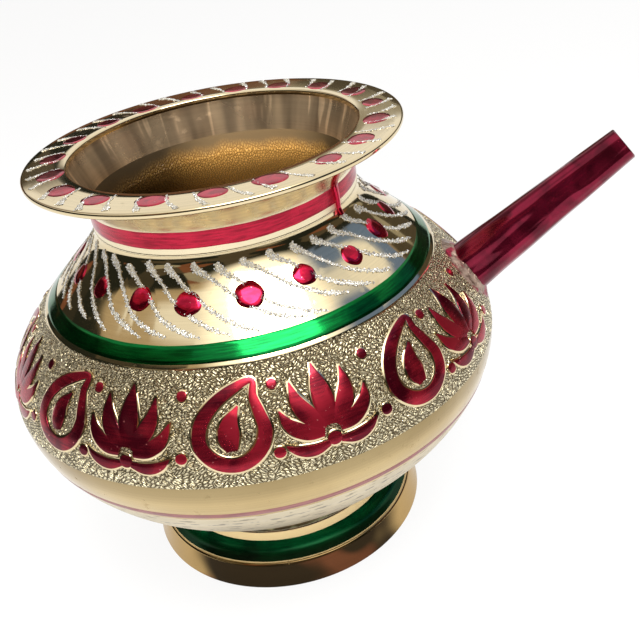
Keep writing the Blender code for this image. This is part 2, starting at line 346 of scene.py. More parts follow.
@dataclass(frozen=True)
class PunchedBrass(Finish):
    """Brass ground covered with short chisel marks that lean to and fro, their crowns painted bright as
    glints and their gaps dark.
    """

    # bright is a painted glint colour for the crowns of the marks, pit the colour of the gaps
    bright: Colour = (0.96, 0.86, 0.59)
    pit: Colour = (0.19, 0.145, 0.08)
    grain: float = 0.62 * MM
    stretch: float = 0.45
    lean: float = math.radians(38.0)
    patch: float = 3.2 * MM
    reach: float = 57.0 * MM
    depth: float = 0.34 * MM
    roughness: float = 0.16
    metallic: float = 1.0
    bronze: Colour = (0.22, 0.145, 0.07)
    rough_below: float = 0.0
    # Painted light: the side of the inside that is painted lit, the least tone on the side painted in shade,
    # and the painted shade tone deep in the pot below a height
    lit_side_angle: float = math.radians(80.0)
    shade: float = 1.0
    crown: float = 0.22
    deep_shade_tone: float = 0.42
    deep_shade_below: float = 52.0 * MM

    def look(self, sheet: SurfaceSheet) -> dict[str, Value]:
        """Gives the shader's values.

        Args:
            sheet: The material's nodes.

        Returns:
            Values by the names of the shader's sockets.
        """
        forth = self.dashes(sheet, self.lean)
        back = self.dashes(sheet, -self.lean)
        turned = sheet.remap(sheet.cloud(sheet.point, 1.0 / self.patch, 1.0), 0.46, 0.54)
        dash = sheet.times_plus(turned, sheet.minus(back, forth), forth)
        fine = sheet.cloud(sheet.point, 2.4 / self.grain)
        wear = sheet.remap(sheet.cloud(sheet.point, 60.0, 3.0), 0.3, 0.7, 0.72, 1.0)
        height = sheet.times_plus(fine, 0.45, dash)
        # Painted highlight: the crowns take the bright colour as glints, the gaps take the dark pit colour
        tone = sheet.times(sheet.remap(height, self.crown, 1.05), wear)
        colour = sheet.mix(tone, self.pit, self.bright)
        if self.rough_below > 0.0:
            uneven = sheet.times_plus(sheet.cloud(sheet.point, 90.0), 5.0 * MM, sheet.level)
            smooth = sheet.remap(uneven, self.rough_below, self.rough_below + 4.5 * MM)
            colour = sheet.mix(smooth, colour, self.bronze)
            height = sheet.times(height, sheet.minus(1.0, smooth))
        # Painted light and shade: one side of the inside painted lit, the deep part painted darker
        if self.shade < 1.0:
            colour = sheet.shade(colour, self.painted_side_light(sheet))
        return {
            "Metallic": self.metallic,
            "Base Color": colour,
            "Roughness": sheet.remap(fine, 0.3, 0.7, self.roughness, self.roughness + 0.16),
            "Normal": sheet.bump(height, self.depth),
        }

    def painted_side_light(self, sheet: SurfaceSheet) -> Socket:
        """Gives a painted light tone: lit on one side high up and evenly shaded lower down in the pot.

        Args:
            sheet: The material's nodes.

        Returns:
            Socket of the painted light tone.
        """
        swing = sheet.math("COSINE", sheet.minus(sheet.angle, self.lit_side_angle))
        side = sheet.remap(swing, 0.62, 0.985, self.shade, 1.0)
        high = sheet.remap(sheet.level, self.deep_shade_below, self.rough_below - 12.0 * MM)
        return sheet.times_plus(sheet.minus(side, self.deep_shade_tone), high, self.deep_shade_tone)

    def dashes(self, sheet: SurfaceSheet, lean: float) -> Socket:
        """Lays out chisel marks that lean one way.

        Args:
            sheet: The material's nodes.
            lean: How far the marks lean from level.

        Returns:
            Socket of the marks' height, 0 in the gaps and 1 on the crowns.
        """
        across = sheet.times(sheet.angle, self.reach)
        up = sheet.times_plus(sheet.radius, -0.6, sheet.level)
        cosine = math.cos(lean)
        sine = math.sin(lean)
        along = sheet.times_plus(up, sine, sheet.times(across, cosine))
        over = sheet.times_plus(up, cosine, sheet.times(across, -sine))
        chart = sheet.join(sheet.times(along, self.stretch), over, 0.0)
        settings = {"feature": "DISTANCE_TO_EDGE", "voronoi_dimensions": "2D"}
        return sheet.remap(sheet.cells(chart, 1.0 / self.grain, **settings), 0.02, 0.30)


@dataclass(frozen=True)
class RoughTurnedBrass(Finish):
    """Pale satin brass straight from the lathe, with broken rows of chatter marks and a painted shadow line
    just above the waist.
    """

    colour: Colour = (0.76, 0.66, 0.47)
    mark: Colour = (0.28, 0.23, 0.16)
    roughness: float = 0.34
    line_pitch: float = 0.5 * MM
    row_pitch: float = 1.5 * MM
    mark_share: float = 0.75
    mark_depth: float = 0.012 * MM
    # Painted shadow: colour and height of a dark broken line on the bowl just above its joint with the foot
    seam: Colour = (0.13, 0.062, 0.03)
    waist_shadow_height: float = 14.4 * MM

    def look(self, sheet: SurfaceSheet) -> dict[str, Value]:
        """Gives the shader's values.

        Args:
            sheet: The material's nodes.

        Returns:
            Values by the names of the shader's sockets.
        """
        lines = sheet.cloud(sheet.lathe, 1.0 / self.line_pitch, 3.0)
        rows = sheet.cloud(sheet.lathe, 1.0 / self.row_pitch, 1.0)
        dash = sheet.join(sheet.times(sheet.angle, 0.02), 0.0, sheet.level)
        broken = sheet.times(rows, sheet.cloud(dash, 900.0))
        marks = sheet.remap(broken, 0.285, 0.33, 0.0, self.mark_share)
        grime = sheet.remap(sheet.cloud(sheet.point, 60.0, 3.0), 0.4, 0.7, 0.0, 0.2)
        dark = sheet.math("ADD", marks, grime, clamp=True)
        # Painted shadow line near the waist, broken up by noise
        off = sheet.math("ABSOLUTE", sheet.minus(sheet.level, self.waist_shadow_height))
        seam = sheet.remap(off, 0.6 * MM, 1.1 * MM, 1.0, 0.0)
        seam = sheet.times(seam, sheet.remap(sheet.cloud(dash, 260.0, 1.0), 0.42, 0.52, 0.0, 0.9))
        return {
            "Metallic": 1.0,
            "Base Color": sheet.mix(seam, sheet.mix(dark, self.colour, self.mark), self.seam),
            "Roughness": sheet.remap(lines, 0.3, 0.7, self.roughness, self.roughness + 0.12),
            "Normal": sheet.bump(sheet.minus(lines, marks), self.mark_depth),
        }


@dataclass(frozen=True)
class BrassWithPaintedReflections(Finish):
    """Glossy brass in a near black brown that stands for dark reflections, with amber painted reflections
    towards two opposite sides and real rust patches round the turning.
    """

    # Painted reflection colours: the near black brown for dark surroundings, the amber for pale ones; rust is
    # a real tint, and lean turns where the painted reflections fall
    dark_reflection_brown: Colour = (0.033, 0.022, 0.011)
    light_reflection_amber: Colour = (0.50, 0.33, 0.13)
    rust: Colour = (0.20, 0.07, 0.03)
    lean: float = math.radians(12.0)
    roughness: float = 0.13
    line_depth: float = 0.0015 * MM

    def look(self, sheet: SurfaceSheet) -> dict[str, Value]:
        """Gives the shader's values.

        Args:
            sheet: The material's nodes.

        Returns:
            Values by the names of the shader's sockets.
        """
        around = sheet.times(sheet.angle, 0.022)
        wall = sheet.join(around, sheet.times(sheet.radius, 0.4), sheet.times(sheet.level, 0.55))
        # Painted reflection: amber towards two opposite sides of the foot, brown between them, broken up by
        # noise
        painted_reflection_sides = sheet.math("ABSOLUTE", sheet.math("COSINE", sheet.minus(sheet.angle, self.lean)))
        patches = sheet.times_plus(sheet.cloud(wall, 130.0, 1.0, 0.2), 0.5, painted_reflection_sides)
        patch_share = sheet.remap(patches, 0.80, 1.02)
        tint = sheet.remap(sheet.cloud(wall, 105.0, 1.0, 0.2), 0.56, 0.70, 0.0, 0.7)
        lines = sheet.cloud(sheet.lathe, 1400.0, 3.0)
        return {
            "Metallic": 1.0,
            "Base Color": sheet.mix(tint, sheet.mix(patch_share, self.dark_reflection_brown, self.light_reflection_amber), self.rust),
            "Roughness": sheet.remap(lines, 0.3, 0.7, self.roughness, self.roughness + 0.1),
            "Normal": sheet.bump(lines, self.line_depth),
        }


@dataclass(frozen=True)
class CandyLacquer(Finish):
    """Clear coloured lacquer over bright metal, brushed on with streaks and specks."""

    thin: Colour = (0.62, 0.02, 0.05)
    thick: Colour = (0.20, 0.004, 0.012)
    metallic: float = 0.85
    roughness: float = 0.2
    patch: float = 6.0 * MM
    patchiness: float = 1.0
    streak: float = 0.4
    speck: Colour = (0.85, 0.30, 0.30)
    speck_share: float = 0.0
    ripple: float = 0.012 * MM
    coat: float = 0.12
    # Optional darkening towards the bottom of the lacquer, between these two heights
    darkening_top: float = 0.0
    darkening_bottom: float = 0.0

    def look(self, sheet: SurfaceSheet) -> dict[str, Value]:
        """Gives the shader's values.

        Args:
            sheet: The material's nodes.

        Returns:
            Values by the names of the shader's sockets.
        """
        patches = sheet.cloud(sheet.point, 1.0 / self.patch, 3.0, 0.5)
        brush = sheet.cloud(sheet.join(sheet.times(sheet.angle, 0.003), sheet.radius, sheet.level), 2600.0)
        blot = sheet.times_plus(sheet.minus(patches, 0.5), self.patchiness, 0.5)
        body = sheet.times_plus(sheet.minus(brush, 0.5), self.streak, blot)
        colour = sheet.mix(sheet.remap(body, 0.30, 0.70), self.thick, self.thin)
        # Darker towards the bottom
        if self.darkening_top > self.darkening_bottom:
            colour = sheet.shade(colour, sheet.remap(sheet.level, self.darkening_bottom, self.darkening_top, 0.16, 1.0))
        if self.speck_share > 0.0:
            grains = sheet.cells(sheet.point, 4200.0, output="Color")
            chosen = sheet.remap(sheet.split(grains)[0], 1.0 - self.speck_share, 1.0, 0.0, 0.7)
            colour = sheet.mix(chosen, colour, self.speck)
        return {
            "Metallic": self.metallic,
            "Coat Weight": self.coat,
            "Coat Roughness": 0.08,
            "Base Color": colour,
            "Roughness": sheet.remap(patches, 0.3, 0.7, self.roughness, 1.8 * self.roughness),
            "Normal": sheet.bump(sheet.cloud(sheet.point, 380.0), self.ripple),
        }


@dataclass(frozen=True)
class GlitterPaste(Finish):
    """Clear paste full of fine silver grains."""

    colour: Colour = (0.84, 0.84, 0.82)
    shade: Colour = (0.42, 0.41, 0.38)
    grains: float = 2600.0
    facet: float = 0.12 * MM

    def look(self, sheet: SurfaceSheet) -> dict[str, Value]:
        """Gives the shader's values.

        Args:
            sheet: The material's nodes.

        Returns:
            Values by the names of the shader's sockets.
        """
        tone = sheet.split(sheet.cells(sheet.point, self.grains, output="Color"))[0]
        return {
            "Metallic": 0.7,
            "Base Color": sheet.mix(tone, self.shade, self.colour),
            "Roughness": sheet.remap(tone, 0.0, 1.0, 0.12, 0.4),
            "Normal": sheet.bump(sheet.cells(sheet.point, self.grains), self.facet),
        }


@dataclass(frozen=True)
class BrazeFiller(Finish):
    """Dull brazing metal, darkened along the seam."""

    colour: Colour = (0.50, 0.37, 0.19)
    soot: Colour = (0.10, 0.07, 0.04)
    smear: Colour = (0.45, 0.02, 0.05)
    smear_share: float = 0.0
    bubbles: float = 0.0
    crust_depth: float = 0.1 * MM
    bubble_height: float = 0.25 * MM

    def look(self, sheet: SurfaceSheet) -> dict[str, Value]:
        """Gives the shader's values.

        Args:
            sheet: The material's nodes.

        Returns:
            Values by the names of the shader's sockets.
        """
        crust = sheet.cloud(sheet.point, 520.0, 4.0, 0.5)
        colour = sheet.mix(sheet.remap(crust, 0.40, 0.66), self.soot, self.colour)
        if self.smear_share > 0.0:
            run = sheet.cloud(sheet.point, 150.0, 2.0, 0.8)
            edge = 0.72 - 0.4 * self.smear_share
            colour = sheet.mix(sheet.remap(run, edge, edge + 0.06), colour, self.smear)
        normal = sheet.bump(crust, self.crust_depth)
        if self.bubbles > 0.0:
            blister = sheet.remap(sheet.cells(sheet.point, 900.0), 0.15, 0.42, 1.0, 0.0)
            normal = sheet.bump(blister, self.bubble_height, self.bubbles, Normal=normal)
        return {
            "Metallic": 0.7,
            "Base Color": colour,
            "Roughness": sheet.remap(crust, 0.3, 0.7, 0.22, 0.5),
            "Normal": normal,
        }


FINISHES = (
    TurnedBrass("polished_brass"),
    TurnedBrass("rim_brass", roughness=0.045, smudge=0.03, line_depth=0.0003 * MM),
    TurnedBrass(
        "neck_brass", colour=(0.92, 0.80, 0.55), tarnish_share=0.05, roughness=0.25, line_depth=0.0016 * MM,
    ),
    TurnedBrass(
        "cove_brass", colour=(0.72, 0.545, 0.275), tarnish_share=0.1, roughness=0.42, metallic=0.45,
        line_depth=0.0016 * MM,
    ),
    TurnedBrass(
        "bowl_brass", colour=(0.68, 0.515, 0.26), tarnish=(0.42, 0.29, 0.12), tarnish_share=0.6,
        roughness=0.12, line_depth=0.001 * MM, dull_high=56.5 * MM, dull_low=49.0 * MM,
    ),
    TurnedBrass("lip_brass", colour=(0.62, 0.43, 0.19), tarnish=(0.26, 0.15, 0.06), tarnish_share=0.8),
    RoughTurnedBrass("satin_brass"),
    TurnedBrass(
        "inside_bronze", colour=(0.60, 0.43, 0.26), tarnish=(0.33, 0.21, 0.115), tarnish_share=0.6,
        roughness=0.27, streak=0.55, metallic=0.72,
    ),
    # Inside of the pot: painted light on one side, painted shade deep down, and crowns painted bright as
    # sparkle
    PunchedBrass(
        "pitted_inside", bright=(1.0, 0.56, 0.15), pit=(0.52, 0.25, 0.055), crown=0.5, grain=1.0 * MM,
        stretch=0.8, depth=0.17 * MM, roughness=0.3, metallic=0.15, rough_below=97.6 * MM, shade=0.2,
    ),
    # Foot wall: brown brass with painted reflections
    BrassWithPaintedReflections("foot_brass"),
    PunchedBrass("punched_brass"),
    CandyLacquer(
        "spout_lacquer", thin=(0.23, 0.009, 0.034), thick=(0.085, 0.004, 0.014), roughness=0.09, streak=0.1,
    ),
    CandyLacquer(
        "frieze_lacquer", thin=(0.42, 0.016, 0.036), thick=(0.095, 0.003, 0.012), patch=12.0 * MM,
        patchiness=1.3, speck_share=0.006, roughness=0.17,
    ),
    CandyLacquer(
        "drop_lacquer", thin=(0.56, 0.008, 0.045), thick=(0.28, 0.004, 0.022), metallic=0.96,
        roughness=0.05, patch=2.5 * MM, speck_share=0.01, ripple=0.008 * MM,
    ),
    CandyLacquer(
        "neck_lacquer", thin=(0.50, 0.014, 0.045), thick=(0.26, 0.006, 0.022), patchiness=0.4,
        streak=0.9, roughness=0.16,
    ),
    CandyLacquer("mauve_line", thin=(0.42, 0.19, 0.18), thick=(0.28, 0.11, 0.11), streak=0.8, roughness=0.34),
    CandyLacquer(
        "green_lacquer", thin=(0.002, 0.165, 0.030), thick=(0.001, 0.075, 0.015), metallic=0.98,
        patchiness=0.35, streak=0.9, roughness=0.085, coat=0.05,
    ),
    CandyLacquer(
        "foot_green", thin=(0.001, 0.17, 0.045), thick=(0.001, 0.055, 0.018), patch=14.0 * MM,
        patchiness=1.2, streak=0.5, roughness=0.13, darkening_top=9.3 * MM, darkening_bottom=7.2 * MM,
    ),
    GlitterPaste("glitter_paste", colour=(0.82, 0.78, 0.66), shade=(0.58, 0.53, 0.42)),
    GlitterPaste("glitter_flake", colour=(0.90, 0.90, 0.89), shade=(0.50, 0.50, 0.48)),
    BrazeFiller("waist_seam", colour=(0.16, 0.08, 0.035), soot=(0.03, 0.014, 0.007)),
    BrazeFiller(
        "spout_solder", colour=(0.50, 0.37, 0.29), soot=(0.26, 0.17, 0.13), smear=(0.30, 0.012, 0.04),
        smear_share=0.5, bubbles=0.5,
    ),
)


# Profiles and turnings


def s_curve(upper: Point, upper_handle: float, lower: Point, lower_handle: float, steps: int) -> list[Point]:
    """Gives points of a cubic that is upright at both ends.

    Args:
        upper: Radius and height of the upper end.
        upper_handle: How far the curve hangs straight below it.
        lower: Radius and height of the lower end.
        lower_handle: How far the curve stands straight above it.
        steps: Spans along the curve.

    Returns:
        Radius and height of each point, from the upper end down.
    """
    hung = (upper[0], upper[1] - upper_handle)
    stood = (lower[0], lower[1] + lower_handle)
    along = np.linspace(0.0, 1.0, steps + 1)[:, None]
    back = 1.0 - along
    shares = (back**3, 3.0 * back**2 * along, 3.0 * back * along**2, along**3)
    points = sum(share * handle for share, handle in zip(shares, np.array([upper, hung, stood, lower])))
    return [(float(radius), float(height)) for radius, height in points]


def arc(centre: Point, radius: float, start: float, end: float, steps: int) -> list[Point]:
    """Gives points of an arc in the turned section, with its angles in degrees from straight out."""
    angles = np.radians(np.linspace(start, end, steps + 1))
    return [(centre[0] + radius * math.cos(turn), centre[1] + radius * math.sin(turn)) for turn in angles]


class Profile:
    """The outer line of a turned surface, measured by the length along it."""

    def __init__(self, points: Sequence[Point]) -> None:
        """Keeps the points and the length up to each.

        Args:
            points: Radius and height of each point.
        """
        self.points = np.array(points)
        spans = np.linalg.norm(np.diff(self.points, axis=0), axis=1)
        self.lengths = np.concatenate(([0.0], np.cumsum(spans)))
        tangents = np.gradient(self.points, self.lengths, axis=0)
        tangents /= np.linalg.norm(tangents, axis=1)[:, None]
        self.normals = np.stack((-tangents[:, 1], tangents[:, 0]), axis=1)

    @property
    def length(self) -> float:
        """Whole length of the line."""
        return float(self.lengths[-1])

    def at(self, along: np.ndarray, lift: np.ndarray | float = 0.0) -> tuple[np.ndarray, np.ndarray]:
        """Gives points on the surface or above it.

        Args:
            along: Lengths from the start of the line.
            lift: How far each point stands off the surface.

        Returns:
            Radii and heights.
        """
        radii = np.interp(along, self.lengths, self.points[:, 0])
        heights = np.interp(along, self.lengths, self.points[:, 1])
        out = np.interp(along, self.lengths, self.normals[:, 0])
        up = np.interp(along, self.lengths, self.normals[:, 1])
        return radii + out * lift, heights + up * lift

    def length_at_height(self, height: float) -> float:
        """Length along a falling line at which it passes a height."""
        return float(np.interp(-height, -self.points[:, 1], self.lengths))

    def guide(self, name: str) -> Object:
        """Makes the line a poly curve in the XZ plane, for Geometry Nodes to sample.

        Args:
            name: Name of the curve object.

        Returns:
            The curve object.
        """
        curve = bpy.data.curves.new(name, "CURVE")
        curve.dimensions = "3D"
        spline = curve.splines.new("POLY")
        spline.points.add(len(self.points) - 1)
        for knot, (radius, height) in zip(spline.points, self.points):
            knot.co = (radius, 0.0, height, 1.0)
        return link(bpy.data.objects.new(name, curve))


def link(obj: Object) -> Object:
    """Puts an object in the scene's collection."""
    bpy.context.scene.collection.objects.link(obj)
    return obj


def evaluated_mesh(obj: Object) -> bpy.types.Mesh:
    """Gives a plain mesh of an object with its modifiers applied."""
    graph = bpy.context.evaluated_depsgraph_get()
    return bpy.data.meshes.new_from_object(obj.evaluated_get(graph), depsgraph=graph)


def mesh_object(name: str, vertices: np.ndarray, faces: Sequence[Sequence[int]]) -> Object:
    """Makes a smooth-shaded mesh object whose faces point outwards.

    Args:
        name: Name of the object and its mesh.
        vertices: Places of the vertices.
        faces: Vertex numbers of each face.

    Returns:
        The linked object.
    """
    mesh = bpy.data.meshes.new(name)
    mesh.from_pydata(vertices.tolist(), [], faces if isinstance(faces, list) else faces.tolist())
    bm = bmesh.new()
    bm.from_mesh(mesh)
    bmesh.ops.recalc_face_normals(bm, faces=bm.faces)
    bm.to_mesh(mesh)
    bm.free()
    mesh.shade_smooth()
    mesh.set_sharp_from_angle(angle=SHARP_ANGLE)
    return link(bpy.data.objects.new(name, mesh))


def grid_faces(rows: int, columns: int, rows_closed: bool = True) -> np.ndarray:
    """Gives the quads of a grid that closes round its columns.

    Args:
        rows: Points along the section.
        columns: Points round the axis.
        rows_closed: Whether the last row joins the first.

    Returns:
        Vertex numbers, four to a face, row by row.
    """
    row = np.arange(rows if rows_closed else rows - 1)[:, None]
    column = np.arange(columns)[None, :]
    next_row = (row + 1) % rows
    next_column = (column + 1) % columns
    corners = (
        row * columns + column,
        row * columns + next_column,
        next_row * columns + next_column,
        next_row * columns + column,
    )
    return np.stack(np.broadcast_arrays(*corners), axis=-1).reshape(-1, 4)


def lathe(name: str, radii: np.ndarray, heights: np.ndarray, axis_x: float) -> Object:
    """Turns a closed section, which may vary round the axis.

    Args:
        name: Name of the new object.
        radii: Radius of each section point at each angle, as rows by columns.
        heights: Height of each, in the same order.
        axis_x: Place of the axis.

    Returns:
        The turned object.
    """
    rows, columns = radii.shape
    angles = np.arange(columns) * FULL_TURN / columns
    x = axis_x + radii * np.cos(angles)
    y = radii * np.sin(angles)
    vertices = np.stack((x, y, heights), axis=-1).reshape(-1, 3)
    return mesh_object(name, vertices, grid_faces(rows, columns))


def hand_wobble(columns: int, size: float, seed: int, waves: Sequence[int] = HAND_WAVES) -> np.ndarray:
    """Gives a slow hand-painted waver round the pot.

    Args:
        columns: Steps round the axis.
        size: Largest waver.
        seed: Seed of the random waves.
        waves: How many times each wave goes up and down in a turn.

    Returns:
        Waver at each step.
    """
    draw = np.random.default_rng(seed)
    angles = np.arange(columns) * FULL_TURN / columns
    waver = np.zeros(columns)
    for count in waves:
        waver += draw.uniform(0.3, 1.0) * np.cos(count * angles + draw.uniform(0.0, FULL_TURN)) / count**0.5
    return size * waver / np.abs(waver).max()


@dataclass
class PaintedBand:
    """A film of lacquer brushed round a turned surface."""

    name: str
    start: float
    end: float
    film: float = 0.09 * MM
    sunk: float = 0.05 * MM
    edge: float = 0.25 * MM
    waver: float = 0.16 * MM
    seed: int = 1
    columns: int = 512
    rows: int = 11

    def build(self, profile: Profile, axis_x: float) -> Object:
        """Makes the film on a profile.

        Args:
            profile: Line of the turned surface.
            axis_x: Place of the axis.

        Returns:
            The film's object.
        """
        upper = self.start + hand_wobble(self.columns, self.waver, self.seed)
        lower = self.end + hand_wobble(self.columns, self.waver, self.seed + 1)
        shares = np.linspace(0.0, 1.0, self.rows)[:, None]
        along = upper + (lower - upper) * shares
        from_edge = np.minimum(along - upper, lower - along)
        lift = self.film * np.sqrt(np.clip(from_edge / self.edge, 0.0, 1.0))
        along = np.concatenate((along, along[::-1]))
        lift = np.concatenate((lift, np.full_like(lift, -self.sunk)))
        radii, heights = profile.at(along, lift)
        return lathe(self.name, radii, heights, axis_x)


# Geometry Nodes: rings of drops, motifs laid on a turning, scattered glitter


class Recipe:
    """A Geometry Nodes tree with named inputs, run once into a plain mesh."""

    def __init__(self, name: str, inputs: dict[str, str]) -> None:
        """Makes the tree's sockets.

        Args:
            name: Name of the tree.
            inputs: Socket types by the input's name.
        """
        self.tree = bpy.data.node_groups.new(name, "GeometryNodeTree")
        self.sheet = NodeSheet(self.tree)
        face = self.tree.interface
        face.new_socket(name="Geometry", in_out="INPUT", socket_type="NodeSocketGeometry")
        self.keys = {}
        for label, kind in inputs.items():
            self.keys[label] = face.new_socket(name=label, in_out="INPUT", socket_type=kind).identifier
        face.new_socket(name="Geometry", in_out="OUTPUT", socket_type="NodeSocketGeometry")
        self.inputs = self.sheet.add("NodeGroupInput").outputs
        self.output = self.sheet.add("NodeGroupOutput").inputs["Geometry"]

    def close(self, geometry: Socket) -> None:
        """Ends the tree in Realize Instances and Set Material.

        Args:
            geometry: Socket of the geometry that the tree has made.
        """
        real = self.sheet.call("GeometryNodeRealizeInstances", {"Geometry": geometry}, "Geometry")
        dressed = {"Geometry": real, "Material": self.inputs["Material"]}
        self.sheet.feed(self.output, self.sheet.call("GeometryNodeSetMaterial", dressed, "Geometry"))

    def run(self, name: str, source: Object, **values: object) -> Object:
        """Runs the tree on a mesh and keeps the result as a plain mesh.

        Args:
            name: Name of the new object.
            source: Mesh object that the tree starts from, which is removed.
            values: The tree's inputs, with underscores for spaces.

        Returns:
            The new object.
        """
        modifier = source.modifiers.new(name, "NODES")
        modifier.node_group = self.tree
        for label, value in values.items():
            modifier[self.keys[label.replace("_", " ")]] = value
        mesh = evaluated_mesh(source)
        bpy.data.objects.remove(source)
        mesh.name = name
        mesh.shade_smooth()
        return link(bpy.data.objects.new(name, mesh))


class OnTurning(Recipe):
    """A recipe that can lay flat work on a turned surface."""

    SOCKETS = {
        "Profile": "NodeSocketObject",
        "Reference Radius": "NodeSocketFloat",
        "Axis X": "NodeSocketFloat",
        "Material": "NodeSocketMaterial",
    }

    def wrap(self, geometry: Socket) -> Socket:
        """Bends flat work round the turning.

        Flat x runs round the pot at the reference radius, flat y along the profile, z off the surface.

        Args:
            geometry: Socket of the flat work.

        Returns:
            Socket of the bent work.
        """
        sheet = self.sheet
        position = sheet.add("GeometryNodeInputPosition").outputs["Position"]
        x, y, z = sheet.split(position)
        info = sheet.add("GeometryNodeObjectInfo", transform_space="ORIGINAL")
        sheet.feed(info.inputs["Object"], self.inputs["Profile"])
        sample = sheet.add("GeometryNodeSampleCurve", mode="LENGTH", use_all_curves=True)
        sheet.feed(sheet.pick(sample.inputs, "Curves"), info.outputs["Geometry"])
        sheet.feed(sheet.pick(sample.inputs, "Length"), y)
        radius, _, height = sheet.split(sample.outputs["Position"])
        out, _, down = sheet.split(sample.outputs["Tangent"])
        radius = sheet.minus(radius, sheet.times(down, z))
        height = sheet.times_plus(out, z, height)
        angle = sheet.math("DIVIDE", x, self.inputs["Reference Radius"])
        bent_x = sheet.times_plus(radius, sheet.math("COSINE", angle), self.inputs["Axis X"])
        bent_y = sheet.times(radius, sheet.math("SINE", angle))
        inputs = {"Geometry": geometry, "Position": sheet.join(bent_x, bent_y, height)}
        bent = sheet.call("GeometryNodeSetPosition", inputs, "Geometry")
        return sheet.call("GeometryNodeFlipFaces", {"Mesh": bent}, "Mesh")

    def lay_copies(self, points: Socket, **placing: Value) -> None:
        """Sets the flat work on each point, bends all of it round the turning and ends the tree.

        Args:
            points: Socket of the points.
            placing: Rotation and scale of the copies, if any.
        """
        inputs = {"Points": points, "Instance": self.inputs["Geometry"], **placing}
        copies = self.sheet.call("GeometryNodeInstanceOnPoints", inputs, "Instances")
        flat = self.sheet.call("GeometryNodeRealizeInstances", {"Geometry": copies}, "Geometry")
        self.close(self.wrap(flat))


class LaidMotif(OnTurning):
    """Repeats flat work round the pot and lays it on a turning."""

    def __init__(self) -> None:
        """Builds the tree."""
        super().__init__("laid_motif", {"Count": "NodeSocketInt", "Pitch": "NodeSocketFloat", **self.SOCKETS})
        inputs = {"Count": self.inputs["Count"], "Offset": self.sheet.join(self.inputs["Pitch"], 0.0, 0.0)}
        self.lay_copies(self.sheet.call("GeometryNodeMeshLine", inputs, "Mesh", mode="OFFSET"))


class DropRing(OnTurning):
    """Sets a ring of enamel drops on a turning, each a little out of place, size and turn."""

    def __init__(self) -> None:
        """Builds the tree."""
        own = {"Count": "NodeSocketInt", "Seed": "NodeSocketInt"}
        for label in ("Pitch", "Along", "Start", "Stray", "Least Size", "Most Size", "Turn"):
            own[label] = "NodeSocketFloat"
        super().__init__("drop_ring", {**own, **self.SOCKETS})
        sheet = self.sheet
        inputs = {
            "Count": self.inputs["Count"],
            "Start Location": sheet.join(self.inputs["Start"], self.inputs["Along"], 0.0),
            "Offset": sheet.join(self.inputs["Pitch"], 0.0, 0.0),
        }
        line = sheet.call("GeometryNodeMeshLine", inputs, "Mesh", mode="OFFSET")
        stray = self.inputs["Stray"]
        back = sheet.times(stray, -1.0)
        shift = self.random("FLOAT_VECTOR", sheet.join(back, back, 0.0), sheet.join(stray, stray, 0.0), 0)
        moved = sheet.call("GeometryNodeSetPosition", {"Geometry": line, "Offset": shift}, "Geometry")
        size = self.random("FLOAT", self.inputs["Least Size"], self.inputs["Most Size"], 1)
        swing = self.random("FLOAT", sheet.times(self.inputs["Turn"], -1.0), self.inputs["Turn"], 2)
        self.lay_copies(moved, Rotation=sheet.join(0.0, 0.0, swing), Scale=sheet.join(size, size, size))

    def random(self, kind: str, low: Value, high: Value, step: int) -> Socket:
        """Draws a value of that type for each drop, with the step added to the tree's seed."""
        inputs = {"Min": low, "Max": high, "Seed": self.sheet.math("ADD", self.inputs["Seed"], float(step))}
        return self.sheet.call("FunctionNodeRandomValue", inputs, "Value", data_type=kind)


class GlitterScatter(Recipe):
    """Scatters small flakes over a mesh, lying about flat on it."""

    def __init__(self) -> None:
        """Builds the tree."""
        own = {"Flake": "NodeSocketObject", "Density": "NodeSocketFloat", "Tilt": "NodeSocketFloat"}
        own.update(Seed="NodeSocketInt", Material="NodeSocketMaterial")
        super().__init__("glitter_scatter", own)
        sheet = self.sheet
        seed = {"Seed": self.inputs["Seed"]}
        spread = sheet.add("GeometryNodeDistributePointsOnFaces", distribute_method="RANDOM")
        sheet.fill(spread, {"Mesh": self.inputs["Geometry"], "Density": self.inputs["Density"], **seed})
        tilt = self.inputs["Tilt"]
        back = sheet.times(tilt, -1.0)
        inputs = {"Min": sheet.join(back, back, 0.0), "Max": sheet.join(tilt, tilt, FULL_TURN), **seed}
        lean = sheet.call("FunctionNodeRandomValue", inputs, "Value", data_type="FLOAT_VECTOR")
        inputs = {"Rotation": spread.outputs["Rotation"], "Rotate By": lean}
        rotation = sheet.call("FunctionNodeRotateRotation", inputs, "Rotation", rotation_space="LOCAL")
        inputs = {"Min": FLAKE_LEAST, "Max": FLAKE_MOST, **seed}
        size = sheet.call("FunctionNodeRandomValue", inputs, "Value", data_type="FLOAT")
        info = sheet.add("GeometryNodeObjectInfo", transform_space="ORIGINAL")
        sheet.feed(info.inputs["Object"], self.inputs["Flake"])
        inputs = {
            "Points": spread.outputs["Points"],
            "Instance": info.outputs["Geometry"],
            "Rotation": rotation,
            "Scale": sheet.join(size, size, size),
        }
        self.close(sheet.call("GeometryNodeInstanceOnPoints", inputs, "Instances"))


# Flat work: brush strokes, drops and flakes


def left_of(ahead: np.ndarray) -> np.ndarray:
    """Gives a step of unit length to the left of each direction."""
    ahead = ahead / np.maximum(np.linalg.norm(ahead, axis=1), 1e-12)[:, None]
    return np.stack((-ahead[:, 1], ahead[:, 0]), axis=1)


